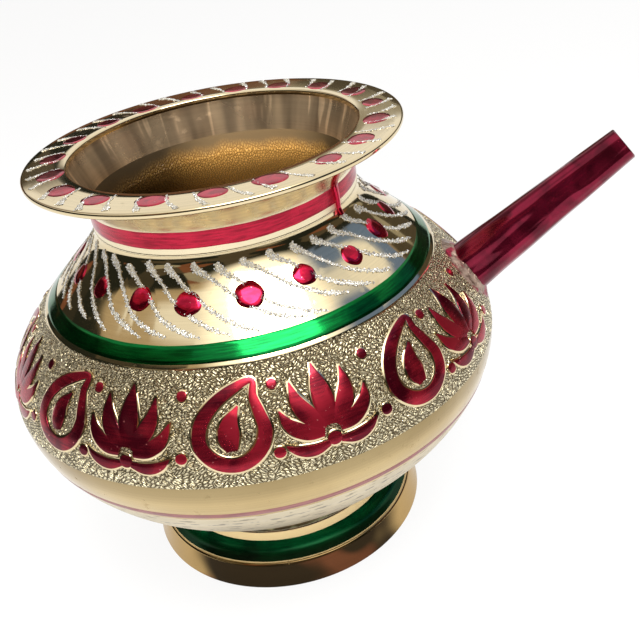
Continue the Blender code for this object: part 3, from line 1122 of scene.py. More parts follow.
@dataclass
class BrushStroke:
    """One stroke of paste or lacquer, drawn on the flat."""

    path: Sequence[Point]
    widths: Sequence[float]
    closed: bool = False
    steps: int = 28

    def spine(self) -> tuple[np.ndarray, np.ndarray]:
        """Gives a smooth line through the stroke's points.

        Returns:
            Points along the stroke and the width at each.
        """
        knots = np.array(self.path)
        widths = np.array(self.widths)
        count = len(knots)
        if self.closed:
            padded = np.concatenate((knots[-1:], knots, knots[:2]))
            wide = np.concatenate((widths, widths[:1]))
            spans = count
        else:
            first = 2.0 * knots[0] - knots[1]
            last = 2.0 * knots[-1] - knots[-2]
            padded = np.concatenate((first[None], knots, last[None]))
            wide = widths
            spans = count - 1
        place = np.linspace(0.0, spans, self.steps + 1)
        span = np.minimum(place.astype(int), spans - 1)
        t = (place - span)[:, None]
        p0, p1, p2, p3 = (padded[span + shift] for shift in range(4))
        line = 2.0 * p1 + (p2 - p0) * t + (2.0 * p0 - 5.0 * p1 + 4.0 * p2 - p3) * t**2
        line = 0.5 * (line + (3.0 * p1 - p0 - 3.0 * p2 + p3) * t**3)
        return line, np.interp(place, np.arange(len(wide)), wide)

    def surface(self, grow: float, height: float, sunk: float, across: int = 7) -> tuple[np.ndarray, list]:
        """Gives a closed domed body along the stroke.

        Args:
            grow: Added to the stroke's width.
            height: Height of the crown above the flat.
            sunk: Depth of its underside below the flat.
            across: Points across the dome.

        Returns:
            Vertices and quads.
        """
        line, widths = self.spine()
        if self.closed:
            line = line[:-1]
            widths = widths[:-1]
            ahead = np.roll(line, -1, axis=0) - np.roll(line, 1, axis=0)
        else:
            ahead = np.gradient(line, axis=0)
        side = left_of(ahead)
        half = 0.5 * (widths + grow)
        full = half.max()
        turns = np.linspace(math.pi, 0.0, across)
        spread = np.sign(np.cos(turns)) * np.abs(np.cos(turns)) ** 0.7
        dome = np.sin(turns) ** 0.45
        crown = height * np.minimum(1.0, (half / (0.5 * full)) ** 0.8)
        top = np.empty((len(line), across, 3))
        top[:, :, :2] = line[:, None, :] + side[:, None, :] * (half[:, None] * spread)[:, :, None]
        top[:, :, 2] = crown[:, None] * dome
        under = top[:, ::-1, :].copy()
        under[:, :, 2] = -sunk
        ring = np.concatenate((top, under), axis=1)
        rows, columns = ring.shape[:2]
        faces = grid_faces(rows, columns, rows_closed=self.closed).tolist()
        if not self.closed:
            faces.append(list(range(columns)))
            faces.append([(rows - 1) * columns + column for column in range(columns)][::-1])
        return ring.reshape(-1, 3), faces

    def ribbon(self, grow: float, lift: float) -> tuple[np.ndarray, list]:
        """Gives a flat open ribbon along the stroke, to scatter flakes on.

        Args:
            grow: Added to the stroke's width.
            lift: Height of the ribbon above the flat.

        Returns:
            Vertices and quads.
        """
        line, widths = self.spine()
        side = left_of(np.gradient(line, axis=0)) * 0.5 * (widths + grow)[:, None]
        edges = np.stack((line + side, line - side), axis=1).reshape(-1, 2)
        points = np.column_stack((edges, np.full(len(edges), lift)))
        return points, [[step, step + 1, step + 3, step + 2] for step in range(0, len(points) - 2, 2)]


def flat_work(name: str, parts: Iterable[tuple[np.ndarray, list]]) -> Object:
    """Makes one flat mesh of many parts.

    Args:
        name: Name of the new object.
        parts: Vertices and faces of each part.

    Returns:
        The flat object.
    """
    vertices = []
    faces = []
    count = 0
    for points, corners in parts:
        vertices.append(points)
        faces.extend([corner + count for corner in face] for face in corners)
        count += len(points)
    return mesh_object(name, np.concatenate(vertices), faces)


def drop_motif(name: str, size: Point, height: float, sunk: float, crown: float, seed: int) -> Object:
    """Makes one enamel drop with an uneven outline.

    Args:
        name: Name of the new object.
        size: Size along the ring and across it.
        height: Height of the crown.
        sunk: Depth of the underside.
        crown: How square the drop's section is, from 2 for a plain dome up.
        seed: Seed of the uneven outline.

    Returns:
        The flat object.
    """
    length, width = size
    columns = 40
    shares = (0.3, 0.5, 0.66, 0.78, 0.87, 0.93, 0.975, 1.0)
    waver = 1.0 + hand_wobble(columns, 0.06, seed, (2, 3, 5))
    angles = np.arange(columns) * FULL_TURN / columns
    rows = []
    for share in shares:
        lift = height * (1.0 - share**crown)
        ring = (0.5 * length * share * waver * np.cos(angles), 0.5 * width * share * waver * np.sin(angles))
        rows.append(np.stack((*ring, np.full(columns, lift)), axis=-1))
    rows.append(rows[-1] - np.array((0.0, 0.0, sunk)))
    vertices = np.concatenate((*rows, np.array([(0.0, 0.0, height)])))
    faces = grid_faces(len(rows), columns, rows_closed=False).tolist()
    middle = len(vertices) - 1
    faces.extend([middle, (column + 1) % columns, column] for column in range(columns))
    base = (len(rows) - 1) * columns
    faces.append([base + column for column in range(columns)])
    return mesh_object(name, vertices, faces)


def flake_motif(name: str, size: float) -> Object:
    """Makes one four-sided glitter flake.

    Args:
        name: Name of the new object.
        size: Width of the flake.

    Returns:
        The flat object.
    """
    mesh = bpy.data.meshes.new(name)
    bm = bmesh.new()
    lift = Matrix.Translation((0.0, 0.0, 0.15 * size))
    bmesh.ops.create_cone(
        bm, segments=4, radius1=0.5 * size, radius2=0.42 * size, depth=0.16 * size, cap_ends=True, matrix=lift
    )
    bm.to_mesh(mesh)
    bm.free()
    return link(bpy.data.objects.new(name, mesh))


# Work on turned meshes


def set_zones(obj: Object, zones: Sequence[int]) -> None:
    """Gives each row of a turned piece its material number."""
    columns = len(obj.data.polygons) // len(zones)
    obj.data.polygons.foreach_set("material_index", np.repeat(np.array(zones, dtype=np.int32), columns))


def close_poles(obj: Object, axis_x: float, reach: float) -> None:
    """Draws the pinhole round the axis to a point on each side of a turned wall.

    Args:
        obj: The turned piece.
        axis_x: Place of the axis.
        reach: Radius within which the rings are drawn together.
    """
    bm = bmesh.new()
    bm.from_mesh(obj.data)
    rings: dict[float, list[bmesh.types.BMVert]] = {}
    for vertex in bm.verts:
        if math.hypot(vertex.co.x - axis_x, vertex.co.y) < reach:
            rings.setdefault(round(vertex.co.z, 6), []).append(vertex)
    for height, ring in rings.items():
        bmesh.ops.pointmerge(bm, verts=ring, merge_co=(axis_x, 0.0, height))
    wires = [edge for edge in bm.edges if not edge.link_faces]
    bmesh.ops.delete(bm, geom=wires, context="EDGES")
    bm.to_mesh(obj.data)
    bm.free()


def cut(obj: Object, cutter: Object) -> None:
    """Cuts a solid out of a piece and leaves a plain mesh.

    Args:
        obj: The piece.
        cutter: Solid to take away.
    """
    modifier = obj.modifiers.new("cut", "BOOLEAN")
    modifier.operation = "DIFFERENCE"
    modifier.solver = "EXACT"
    modifier.object = cutter
    mesh = evaluated_mesh(obj)
    obj.modifiers.remove(modifier)
    mesh.name = obj.name
    obj.data = mesh


# Sub-assemblies


@dataclass
class PotFrame:
    """Axis and levels of the pot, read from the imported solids."""

    axis_x: float
    rim_radius: float
    rim_base: float
    rim_top: float
    neck_top_radius: float
    shoulder_top: float
    belly_radius: float
    seam: float
    foot_radius: float
    foot_top: float

    @classmethod
    def read(cls) -> PotFrame:
        """Reads the levels from the solids' boxes.

        Returns:
            The pot's frame.
        """
        rim_low, rim_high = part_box("mouth_rim")
        neck_low, neck_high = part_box("neck_collar")
        shell_low, shell_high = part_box("shoulder_shell")
        foot_low, foot_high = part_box("foot_ring")
        return cls(
            axis_x=0.5 * (foot_low[0] + foot_high[0]),
            rim_radius=0.5 * (rim_high[0] - rim_low[0]),
            rim_base=rim_low[2],
            rim_top=rim_high[2],
            neck_top_radius=0.5 * (neck_high[0] - neck_low[0]),
            shoulder_top=shell_high[2],
            belly_radius=0.5 * (shell_high[0] - shell_low[0]),
            seam=shell_low[2],
            foot_radius=0.5 * (foot_high[0] - foot_low[0]),
            foot_top=foot_high[2],
        )


@dataclass
class Assembly:
    """A part of the pot, with its levels, its materials and the work that all parts share."""

    frame: PotFrame
    palette: dict[str, Material]

    def dress(self, obj: Object, slot: Slot, finishes: Sequence[str] = (), nodes: Sequence[str] = ()) -> None:
        """Gives a finished piece its materials and body, hides the solids that it replaces and logs its slot.

        Args:
            obj: The piece.
            slot: Record slot of the piece, which is only named in the log.
            finishes: Its finishes in the order of the mesh's material numbers, if not set yet.
            nodes: Names of the solids that it replaces.
        """
        for finish in finishes:
            obj.data.materials.append(self.palette[finish])
        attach(obj, BODY)
        if nodes:
            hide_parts(*nodes)
        LOG.info("%s: %d faces, %s", obj.name, len(obj.data.polygons), slot.value)

    def turn(self, name: str, section: Sequence[Point], segments: int = TURN_SEGMENTS) -> Object:
        """Turns a plain closed section, its radii and heights once round, about the pot's axis."""
        points = np.array(section)[:, :, None] * np.ones(segments)
        return lathe(name, points[:, 0], points[:, 1], self.frame.axis_x)

    def bead(self, name: str, node: str, finish: str, centre: Point, size: float, spread: float) -> None:
        """Makes the bead of filler at a seam, its section an arc that spreads so far up and down."""
        ring = self.turn(name, arc(centre, size, spread, -spread, 8))
        self.dress(ring, Slot.FILLER, [finish], [node])

    def where(self, guide: Object, reference: float) -> dict[str, object]:
        """Gives the inputs that place flat work, with flat x measured at the reference radius."""
        return {"Profile": guide, "Reference_Radius": reference, "Axis_X": self.frame.axis_x}

    def lay(self, name: str, flat: Object, finish: str, count: int, pitch: float, **where: object) -> Object:
        """Lays flat work on a turning, so many times round at that pitch."""
        return LaidMotif().run(name, flat, Count=count, Pitch=pitch, Material=self.palette[finish], **where)

    def set_drops(self, name: str, drop: Object, count: int, start: float, **ring: object) -> None:
        """Sets lacquer drops evenly round a turning.

        Args:
            name: Name of the piece.
            drop: One drop, on the flat.
            count: How many drops there are.
            start: Angle of the first one.
            ring: Other inputs of the recipe.
        """
        reference = ring["Reference_Radius"]
        ring.update(Count=count, Pitch=FULL_TURN * reference / count, Start=start * reference)
        self.dress(DropRing().run(name, drop, Material=self.palette["drop_lacquer"], **ring), Slot.RED)

    def brush_glitter(
        self,
        part: str,
        strokes: Sequence[BrushStroke],
        paste: tuple[float, float, float],
        field: tuple[float, float],
        seed: int,
        **where: object,
    ) -> None:
        """Brushes strokes of paste on a turning and scatters flakes over them.

        Args:
            part: Name that the pieces' names begin with.
            strokes: The strokes.
            paste: Growth in width, height and depth of the paste.
            field: Growth in width and height of the ribbons that the flakes lie on.
            seed: Seed of the scatter.
            where: Inputs that place the flat work.
        """
        work = flat_work(f"{part}_paste_work", (stroke.surface(*paste) for stroke in strokes))
        self.dress(self.lay(f"{part}_strokes", work, "glitter_paste", 1, 0.0, **where), Slot.GLITTER)
        ribbons = flat_work(f"{part}_field_work", (stroke.ribbon(*field) for stroke in strokes))
        laid = self.lay(f"{part}_field", ribbons, "glitter_paste", 1, 0.0, **where)
        flake = flake_motif("glitter_flake_shape", FLAKE_SIZE)
        scatter = {"Flake": flake, "Density": FLAKE_DENSITY, "Tilt": FLAKE_TILT, "Seed": seed}
        flakes = GlitterScatter().run(
            f"{part}_glitter", laid, Material=self.palette["glitter_flake"], **scatter
        )
        flakes.data.shade_flat()
        bpy.data.objects.remove(flake)
        self.dress(flakes, Slot.GLITTER)


@dataclass
class MouthFlange(Assembly):
    """The flat flange round the mouth, with its drops and strokes."""

    mouth_radius: float = 34.5 * MM
    edge_round: float = 0.55 * MM
    mouth_round: float = 0.5 * MM
    relief: float = 0.36 * MM
    drop_count: int = 19
    drop_length: float = 7.2 * MM
    drop_width: float = 6.0 * MM
    drop_height: float = 0.13 * MM
    drop_sunk: float = 0.15 * MM
    drop_crown: float = 11.0
    drop_place: float = 4.1 * MM
    drop_start: float = math.radians(-5.8)
    stroke_count: int = 38

    def level(self) -> float:
        """Gives the height of the top face, which leaves room for the drops below the solid's top."""
        return self.frame.rim_top - self.relief

    def top(self) -> Profile:
        """Gives the line of the flange's top face, from the mouth outwards."""
        return Profile([(self.mouth_radius, self.level()), (self.frame.rim_radius, self.level())])

    def build(self) -> None:
        """Makes the flange and what is painted on it."""
        inner = self.mouth_radius
        outer = self.frame.rim_radius
        top = self.level()
        base = self.frame.rim_base
        lip = self.mouth_round
        edge = self.edge_round
        section = arc((outer - edge, top - edge), edge, 90.0, 0.0, 5)
        section += arc((outer - edge, base + edge), edge, 0.0, -90.0, 5)
        section += [(inner + 4.0 * MM, base), (inner, base)]
        section += arc((inner + lip, top - lip), lip, 180.0, 90.0, 4)
        section += [(inner + share * (outer - inner), top) for share in (0.25, 0.5, 0.75)]
        self.dress(self.turn("mouth_flange", section), Slot.BRASS, ["rim_brass"], ["mouth_rim"])
        self.paint()

    def paint(self) -> None:
        """Sets the drops and draws the strokes on the flange."""
        guide = self.top().guide("flange_line")
        reference = self.mouth_radius + self.drop_place
        where = self.where(guide, reference)
        size = (self.drop_length, self.drop_width)
        drop = drop_motif("flange_drop", size, self.drop_height, self.drop_sunk, self.drop_crown, 5)
        self.set_drops(
            "flange_drops",
            drop,
            self.drop_count,
            self.drop_start,
            Along=self.drop_place,
            **{"Stray": 0.6 * MM, "Least_Size": 0.85, "Most_Size": 1.08, "Turn": 0.25, "Seed": 11},
            **where,
        )
        paste = (-0.3 * MM, 0.14 * MM, 0.12 * MM)
        field = (-0.1 * MM, 0.03 * MM)
        self.brush_glitter("flange", self.strokes(reference), paste, field, 21, **where)
        bpy.data.objects.remove(guide)

    def strokes(self, reference: float) -> list[BrushStroke]:
        """Draws the short slanting strokes between the drops.

        Args:
            reference: Radius at which flat x is measured.

        Returns:
            The strokes.
        """
        draw = np.random.default_rng(7)
        pitch = FULL_TURN * reference / self.stroke_count
        strokes = []
        for number in range(self.stroke_count):
            start = self.drop_start * reference + (number + 0.5) * pitch + draw.uniform(-0.5, 0.5) * MM
            lean = draw.uniform(2.2, 4.0) * MM
            inner = draw.uniform(1.2, 2.4) * MM
            outer = draw.uniform(8.6, 9.7) * MM
            middle = 0.5 * (inner + outer)
            path = [(start, inner), (start + 0.35 * lean, middle), (start + lean, outer)]
            widths = [0.6 * MM, draw.uniform(0.6, 0.9) * MM, draw.uniform(1.2, 1.8) * MM]
            strokes.append(BrushStroke(path, widths, steps=14))
        return strokes


@dataclass
class Neck(Assembly):
    """The neck collar with its red band and its braze rings."""

    radius: float = 32.4 * MM
    mouth_radius: float = 34.5 * MM
    throat: float = 30.9 * MM
    band_top: float = 99.8 * MM
    land: float = 1.2 * MM
    flare_handle: float = 3.0 * MM
    mouth_handle: float = 2.0 * MM
    throat_handle: float = 7.0 * MM
    red_low: float = 96.7 * MM
    red_high: float = 100.6 * MM
    rough_top: float = 100.4 * MM
    braze: float = 0.9 * MM
    bite: float = 0.2 * MM
    tuck: float = 0.05 * MM

    def outer(self) -> list[Point]:
        """Gives the outer line.

        Returns:
            Its points, from the flange down to the shoulder.
        """
        frame = self.frame
        handle = self.flare_handle
        flare_top = (frame.neck_top_radius, frame.rim_base - self.land)
        line = [(frame.neck_top_radius, frame.rim_base)]
        line += s_curve(flare_top, handle, (self.radius, self.band_top), handle, 20)
        line.append((self.radius, frame.shoulder_top))
        return line

    def build(self) -> None:
        """Makes the neck, its red band and its seams."""
        frame = self.frame
        outer = self.outer()
        mouth = (self.mouth_radius, frame.rim_base)
        throat = (self.throat, frame.shoulder_top)
        inner = s_curve(mouth, self.mouth_handle, throat, self.throat_handle, 24)[::-1]
        collar = self.turn("neck_wall", outer + inner)
        set_zones(collar, [0] * len(outer) + [2 if height < self.rough_top else 1 for _, height in inner])
        finishes = ["neck_brass", "inside_bronze", "pitted_inside"]
        self.dress(collar, Slot.BRASS, finishes, ["neck_collar"])
        profile = Profile(outer)
        start = profile.length_at_height(self.red_high)
        end = profile.length_at_height(self.red_low)
        band = PaintedBand("neck_red_band", start, end, seed=31).build(profile, frame.axis_x)
        self.dress(band, Slot.RED, ["neck_lacquer"])
        self.run(outer)
        self.seams()

    def run(self, outer: list[Point]) -> None:
        """Lets one run of red paint down from under the flange on to the shoulder.

        Args:
            outer: Outer line of the neck.
        """
        below = (self.radius + 1.2 * MM, self.frame.shoulder_top - 2.4 * MM)
        guide = Profile(outer + [below]).guide("neck_line")
        turns = np.radians((-36.0, -33.5, -31.5, -30.0, -29.5, -29.5))
        along = np.array((0.6, 3.4, 6.8, 10.6, 14.0, 17.0)) * MM
        widths = np.array((3.0, 2.4, 2.1, 1.9, 1.5, 0.9)) * MM
        stroke = BrushStroke(list(zip(turns * self.radius, along)), widths, steps=40)
        flat = flat_work("neck_run_work", [stroke.surface(0.0, 0.55 * MM, 0.15 * MM)])
        where = self.where(guide, self.radius)
        self.dress(self.lay("neck_run", flat, "drop_lacquer", 1, 0.0, **where), Slot.RED)
        bpy.data.objects.remove(guide)

    def seams(self) -> None:
        """Makes the braze rings under the flange and on the shoulder."""
        frame = self.frame
        leg = self.braze
        radius = frame.neck_top_radius
        base = frame.rim_base
        section = [(radius - self.bite, base + self.tuck), (radius + leg, base + self.tuck)]
        section += arc((radius + leg, base - leg), leg, 90.0, 180.0, 5)
        section.append((radius - self.bite, base - leg))
        self.dress(self.turn("flange_braze", section), Slot.FILLER, ["polished_brass"], ["rim_braze_fillet"])
        centre = (self.radius - 0.3 * MM, frame.shoulder_top)
        self.bead("neck_braze", "neck_braze_fillet", "neck_brass", centre, 0.4 * MM, 100.0)


@dataclass
class Shoulder(Assembly):
    """The shoulder shell: mirror top with drops and strokes, green band, punched ground and frieze."""

    top_radius: float = 32.4 * MM
    top_handle: float = 7.2 * MM
    belly_handle: float = 15.8 * MM
    wall: float = 1.5 * MM
    line_steps: int = 96
    inner_rows: int = 30
    ground_columns: int = 1080
    ground_rows: int = 84
    let_in: float = 0.35 * MM
    green_start: float = 19.6 * MM
    green_end: float = 23.8 * MM
    punch_start: float = 24.9 * MM
    punch_lap: float = 0.4 * MM
    grain: float = 1.1 * MM
    grain_depth: float = 0.16 * MM
    grain_fade: float = 0.6 * MM
    drop_reference: float = 38.2 * MM
    drop_count: int = 19
    drop_size: float = 6.0 * MM
    drop_height: float = 0.32 * MM
    drop_sunk: float = 0.2 * MM
    drop_crown: float = 5.0
    drop_place: float = 10.0 * MM
    drop_start: float = math.radians(-20.0)
    stroke_count: int = 38
    frieze_reference: float = 57.0 * MM
    frieze_repeats: int = 8
    frieze_gap: float = 25.0 * MM
    frieze_base: float = 47.6 * MM

    def line(self) -> list[Point]:
        """Gives the outer line, from the neck down to the belly seam."""
        ends = (self.top_radius, self.frame.shoulder_top), (self.frame.belly_radius, self.frame.seam)
        return s_curve(ends[0], self.top_handle, ends[1], self.belly_handle, self.line_steps)

    def build(self, cutter: Object) -> None:
        """Makes the shell and all that is on it.

        Args:
            cutter: Solid that cuts the hole under the spout.
        """
        profile = Profile(self.line())
        self.shell(profile, cutter)
        self.ground(profile, cutter)
        band = PaintedBand("shoulder_green_band", self.green_start, self.green_end, seed=41)
        self.dress(band.build(profile, self.frame.axis_x), Slot.GREEN, ["green_lacquer"])
        guide = profile.guide("shoulder_line")
        self.paint(guide)
        self.ornament(guide)
        bpy.data.objects.remove(guide)

    def shell(self, profile: Profile, cutter: Object) -> None:
        """Makes the smooth shell, let in a little where the punched ground covers it.

        Args:
            profile: Outer line of the shell.
            cutter: Solid that cuts the hole under the spout.
        """
        frame = self.frame
        along = np.linspace(0.0, profile.length, self.line_steps + 1)
        covered = along > self.punch_start + self.punch_lap
        radii, heights = profile.at(along, np.where(covered, -self.let_in, 0.0))
        outer = list(zip(radii, np.maximum(heights, frame.seam)))
        radii, heights = profile.at(np.linspace(profile.length, 0.0, self.inner_rows), -self.wall)
        inner = list(zip(radii, np.clip(heights, frame.seam, frame.shoulder_top)))
        shell = self.turn("shoulder", outer + inner)
        set_zones(shell, [0] * len(outer) + [1] * len(inner))
        cut(shell, cutter)
        self.dress(shell, Slot.BRASS, ["polished_brass", "pitted_inside"], ["shoulder_shell"])

    def ground(self, profile: Profile, cutter: Object) -> None:
        """Makes the punched ground as a skin with real relief.

        Args:
            profile: Outer line of the shell.
            cutter: Solid that cuts the hole under the spout.
        """
        ones = np.ones((1, self.ground_columns))
        even = np.linspace(self.punch_start, profile.length, self.ground_rows)
        front = profile.at(even[:, None] * ones, self.relief(profile, even))
        back = np.array((profile.length, 0.5 * (self.punch_start + profile.length), self.punch_start))
        behind = profile.at(back[:, None] * ones, -0.5 * self.wall)
        radii, heights = (np.concatenate(pair) for pair in zip(front, behind))
        skin = lathe("punched_ground", radii, np.maximum(heights, self.frame.seam), self.frame.axis_x)
        cut(skin, cutter)
        self.dress(skin, Slot.BRASS, ["punched_brass"])

    def relief(self, profile: Profile, even: np.ndarray) -> np.ndarray:
        """Gives the height of the crinkled ground, dying out at its edges.

        Args:
            profile: Outer line of the shell.
            even: Length along the line of each row.

        Returns:
            Height of each grid point, below the smooth surface.
        """
        angles = np.arange(self.ground_columns) * FULL_TURN / self.ground_columns
        radii, heights = profile.at(even)
        lift = np.zeros((len(even), self.ground_columns))
        for row, along in enumerate(even):
            edge = min(along - self.punch_start, profile.length - along)
            fade = min(1.0, edge / self.grain_fade)
            ring = zip(radii[row] * np.cos(angles), radii[row] * np.sin(angles))
            for column, (x, y) in enumerate(ring):
                place = Vector((x, y, heights[row])) / self.grain
                lift[row, column] = -fade * self.grain_depth * min(1.0, 2.2 * abs(noise.noise(place)))
        return lift

    def paint(self, guide: Object) -> None:
        """Sets the drops and draws the glitter strokes.

        Args:
            guide: Curve of the shoulder's line.
        """
        reference = self.drop_reference
        where = self.where(guide, reference)
        paste = (-0.25 * MM, 0.16 * MM, 0.12 * MM)
        field = (0.25 * MM, 0.1 * MM)
        self.brush_glitter("shoulder", self.strokes(reference), paste, field, 22, **where)
        size = (self.drop_size, self.drop_size)
        drop = drop_motif("shoulder_drop", size, self.drop_height, self.drop_sunk, self.drop_crown, 6)
        self.set_drops(
            "shoulder_drops",
            drop,
            self.drop_count,
            self.drop_start,
            Along=self.drop_place,
            **{"Stray": 0.7 * MM, "Least_Size": 0.86, "Most_Size": 1.06, "Turn": 3.0, "Seed": 12},
            **where,
        )

    def strokes(self, reference: float) -> list[BrushStroke]:
        """Draws the trailing strokes that hook round above the green band.

        Args:
            reference: Radius at which flat x is measured.

        Returns:
            The strokes.
        """
        draw = np.random.default_rng(9)
        pitch = FULL_TURN * reference / self.stroke_count
        trail = [(-0.4, -0.7), (0.3, 0.4), (2.2, 2.0), (4.8, 4.0)]
        trail += [(8.3, 7.6), (12.0, 11.1), (16.7, 14.2), (20.5, 15.9)]
        strokes = []
        for number in range(self.stroke_count):
            start = number * pitch + draw.uniform(-0.6, 0.6) * MM
            top = draw.uniform(1.9, 3.2) * MM
            drop = draw.uniform(0.92, 1.03)
            reach = draw.uniform(0.85, 1.06)
            path = []
            for x, y in trail:
                across = start + (reach * x + draw.normal(0.0, 0.22)) * MM
                path.append((across, top + (drop * y + draw.normal(0.0, 0.18)) * MM))
            widths = np.array((1.3, 2.1, 1.25, 0.85, 0.8, 0.85, draw.uniform(0.8, 1.2), 0.4)) * MM
            strokes.append(BrushStroke(path, widths, steps=34))
        return strokes

    def ornament(self, guide: Object) -> None:
        """Lays the raised frieze on the punched ground.

        Args:
            guide: Curve of the shoulder's line.
        """
        pitch = (FULL_TURN * self.frieze_reference - self.frieze_gap) / self.frieze_repeats
        motif = Frieze(pitch, 0.5 * self.frieze_gap, self.frieze_base).strokes()
        repeat = (self.frieze_repeats, pitch)
        where = self.where(guide, self.frieze_reference)
        lands = (stroke.surface(0.7 * MM, 0.16 * MM, 0.35 * MM) for stroke in motif)
        land = flat_work("frieze_land_work", lands)
        self.dress(self.lay("frieze_lands", land, "polished_brass", *repeat, **where), Slot.BRASS)
        films = (stroke.surface(0.0, 0.27 * MM, 0.1 * MM) for stroke in motif)
        film = flat_work("frieze_film_work", films)
        self.dress(self.lay("frieze_lacquer", film, "frieze_lacquer", *repeat, **where), Slot.MAROON)


@dataclass
class Frieze:
    """One repeat of the belly frieze: a paisley and a lotus flower, with seed dots."""

    pitch: float
    start: float
    base: float

    def place(self, points: Sequence[Point]) -> list[Point]:
        """Moves motif points, right and up in millimetres, on to the flat strip."""
        return [(self.start + right * MM, self.base - up * MM) for right, up in points]

    def petal(self, points: Sequence[Point], width: float) -> BrushStroke:
        """Draws one petal, broad in the middle and pointed at its tip.

        Args:
            points: Line of the petal from its root to its tip.
            width: Breadth of the petal, in millimetres.

        Returns:
            The petal's stroke.
        """
        line, _ = BrushStroke(self.place(points), np.ones(len(points)), steps=10).spine()
        shares = np.linspace(0.0, 1.0, len(line))
        widths = width * MM * np.maximum(0.1, np.sin(math.pi * (0.17 + 0.83 * shares)))
        return BrushStroke(line, widths, steps=30)

    def dot(self, right: float, up: float, size: float) -> BrushStroke:
        """Draws one round seed dot.

        Args:
            right: Place of its middle to the right, in millimetres.
            up: Place of its middle upwards.
            size: Its width.

        Returns:
            The dot's stroke.
        """
        turns = np.linspace(0.0, math.pi, 9)
        line = [(right - 0.5 * size * math.cos(turn), up) for turn in turns]
        return BrushStroke(self.place(line), size * MM * np.sin(turns).clip(0.08), steps=16)

    def strokes(self) -> list[BrushStroke]:
        """Draws the whole repeat.

        Returns:
            Its strokes.
        """
        outline = [
            (15.4, 19.0), (10.8, 17.7), (6.4, 14.9), (3.6, 10.9), (3.5, 6.5), (6.6, 3.1),
            (11.0, 2.4), (14.8, 4.7), (16.5, 8.6), (15.9, 12.4), (15.2, 15.8),
        ]
        widths = [1.3, 2.4, 3.0, 3.1, 3.1, 3.1, 3.1, 3.0, 2.9, 2.5, 1.9]
        paisley = BrushStroke(self.place(outline), np.array(widths) * MM, closed=True, steps=72)
        strokes = [paisley, self.petal([(9.6, 5.4), (9.2, 8.2), (9.8, 11.2), (11.8, 14.4)], 4.6)]
        middle = 29.2
        strokes.append(self.petal([(middle, 6.2), (middle, 10.6), (middle, 15.0), (middle, 19.6)], 4.8))
        for side in (-1.0, 1.0):
            near = [(0.9, 6.2), (3.6, 9.0), (5.4, 12.6), (6.0, 17.2)]
            far = [(1.6, 5.0), (5.0, 6.0), (8.0, 8.4), (9.6, 12.0)]
            for points, width in ((near, 3.9), (far, 3.4)):
                strokes.append(self.petal([(middle + side * right, up) for right, up in points], width))
            leaf = [(1.2, 2.6), (4.4, 2.0), (7.4, 2.8), (9.8, 4.6)]
            strokes.append(self.petal([(middle + side * right, up) for right, up in leaf], 2.6))
        strokes.append(self.dot(middle, 3.2, 3.0))
        strokes.append(self.dot(18.4, 3.4, 2.4))
        strokes.append(self.dot(19.6, 17.4, 2.4))
        strokes.append(self.dot(self.pitch / MM - 0.4, 17.2, 2.4))
        strokes.append(self.dot(self.pitch / MM - 0.6, 4.4, 2.4))
        return strokes


@dataclass
class Bowl(Assembly):
    """The lower bowl with its mauve line, and the seam at the belly."""

    belly_handle: float = 22.0 * MM
    waist_handle: float = 6.6 * MM
    waist_radius: float = 31.5 * MM
    wall: float = 1.5 * MM
    floor: float = 1.8 * MM
    floor_radius: float = 12.0 * MM
    pole: float = 0.4 * MM
    line_steps: int = 72
    inner_rows: int = 40
    segments: int = 320
    mauve_high: float = 47.9 * MM
    mauve_low: float = 46.3 * MM
    groove_heights: tuple[float, ...] = (41.2 * MM, 39.9 * MM, 38.4 * MM)
    groove_depth: float = 0.12 * MM
    groove_width: float = 0.16 * MM

    def line(self) -> list[Point]:
        """Gives the outer line, from the belly seam down to the waist."""
        ends = (self.frame.belly_radius, self.frame.seam), (self.waist_radius, self.frame.foot_top)
        return s_curve(ends[0], self.belly_handle, ends[1], self.waist_handle, self.line_steps)

    def outer(self, profile: Profile) -> list[Point]:
        """Gives the outer line with its turned grooves.

        Args:
            profile: The plain outer line.

        Returns:
            Radius and height of each point.
        """
        along = set(np.linspace(0.0, profile.length, self.line_steps + 1))
        grooves = [profile.length_at_height(height) for height in self.groove_heights]
        for groove in grooves:
            along.update(groove + share * self.groove_width for share in (-1.0, -0.4, 0.0, 0.4, 1.0))
        along = np.array(sorted(along))
        lift = np.zeros_like(along)
        for groove in grooves:
            away = np.abs(along - groove) / self.groove_width
            lift -= self.groove_depth * np.clip(1.0 - away, 0.0, 1.0)
        return list(zip(*profile.at(along, lift)))

    def build(self) -> None:
        """Makes the bowl, its painted line and the belly seam."""
        frame = self.frame
        profile = Profile(self.line())
        outer = self.outer(profile)
        floor = frame.foot_top + self.floor
        radii, heights = profile.at(np.linspace(profile.length - 2.0 * MM, 0.0, self.inner_rows), -self.wall)
        inner = [(self.pole, frame.foot_top - 0.2 * MM), (self.pole, floor), (self.floor_radius, floor)]
        inner += list(zip(radii, np.clip(heights, floor, frame.seam)))
        bowl = self.turn("bowl", outer + inner, self.segments)
        set_zones(bowl, [0 if height > self.mauve_low else 1 for _, height in outer] + [2] * len(inner))
        close_poles(bowl, frame.axis_x, 1.0 * MM)
        self.dress(bowl, Slot.BRASS, ["bowl_brass", "satin_brass", "pitted_inside"], ["lower_bowl"])
        start = profile.length_at_height(self.mauve_high)
        end = profile.length_at_height(self.mauve_low)
        band = PaintedBand("mauve_line", start, end, film=0.05 * MM, waver=0.08 * MM, seed=51, rows=7)
        self.dress(band.build(profile, frame.axis_x), Slot.RED, ["mauve_line"])
        centre = (frame.belly_radius - 0.42 * MM, frame.seam)
        self.bead("belly_braze", "belly_braze_fillet", "polished_brass", centre, 0.4 * MM, 100.0)


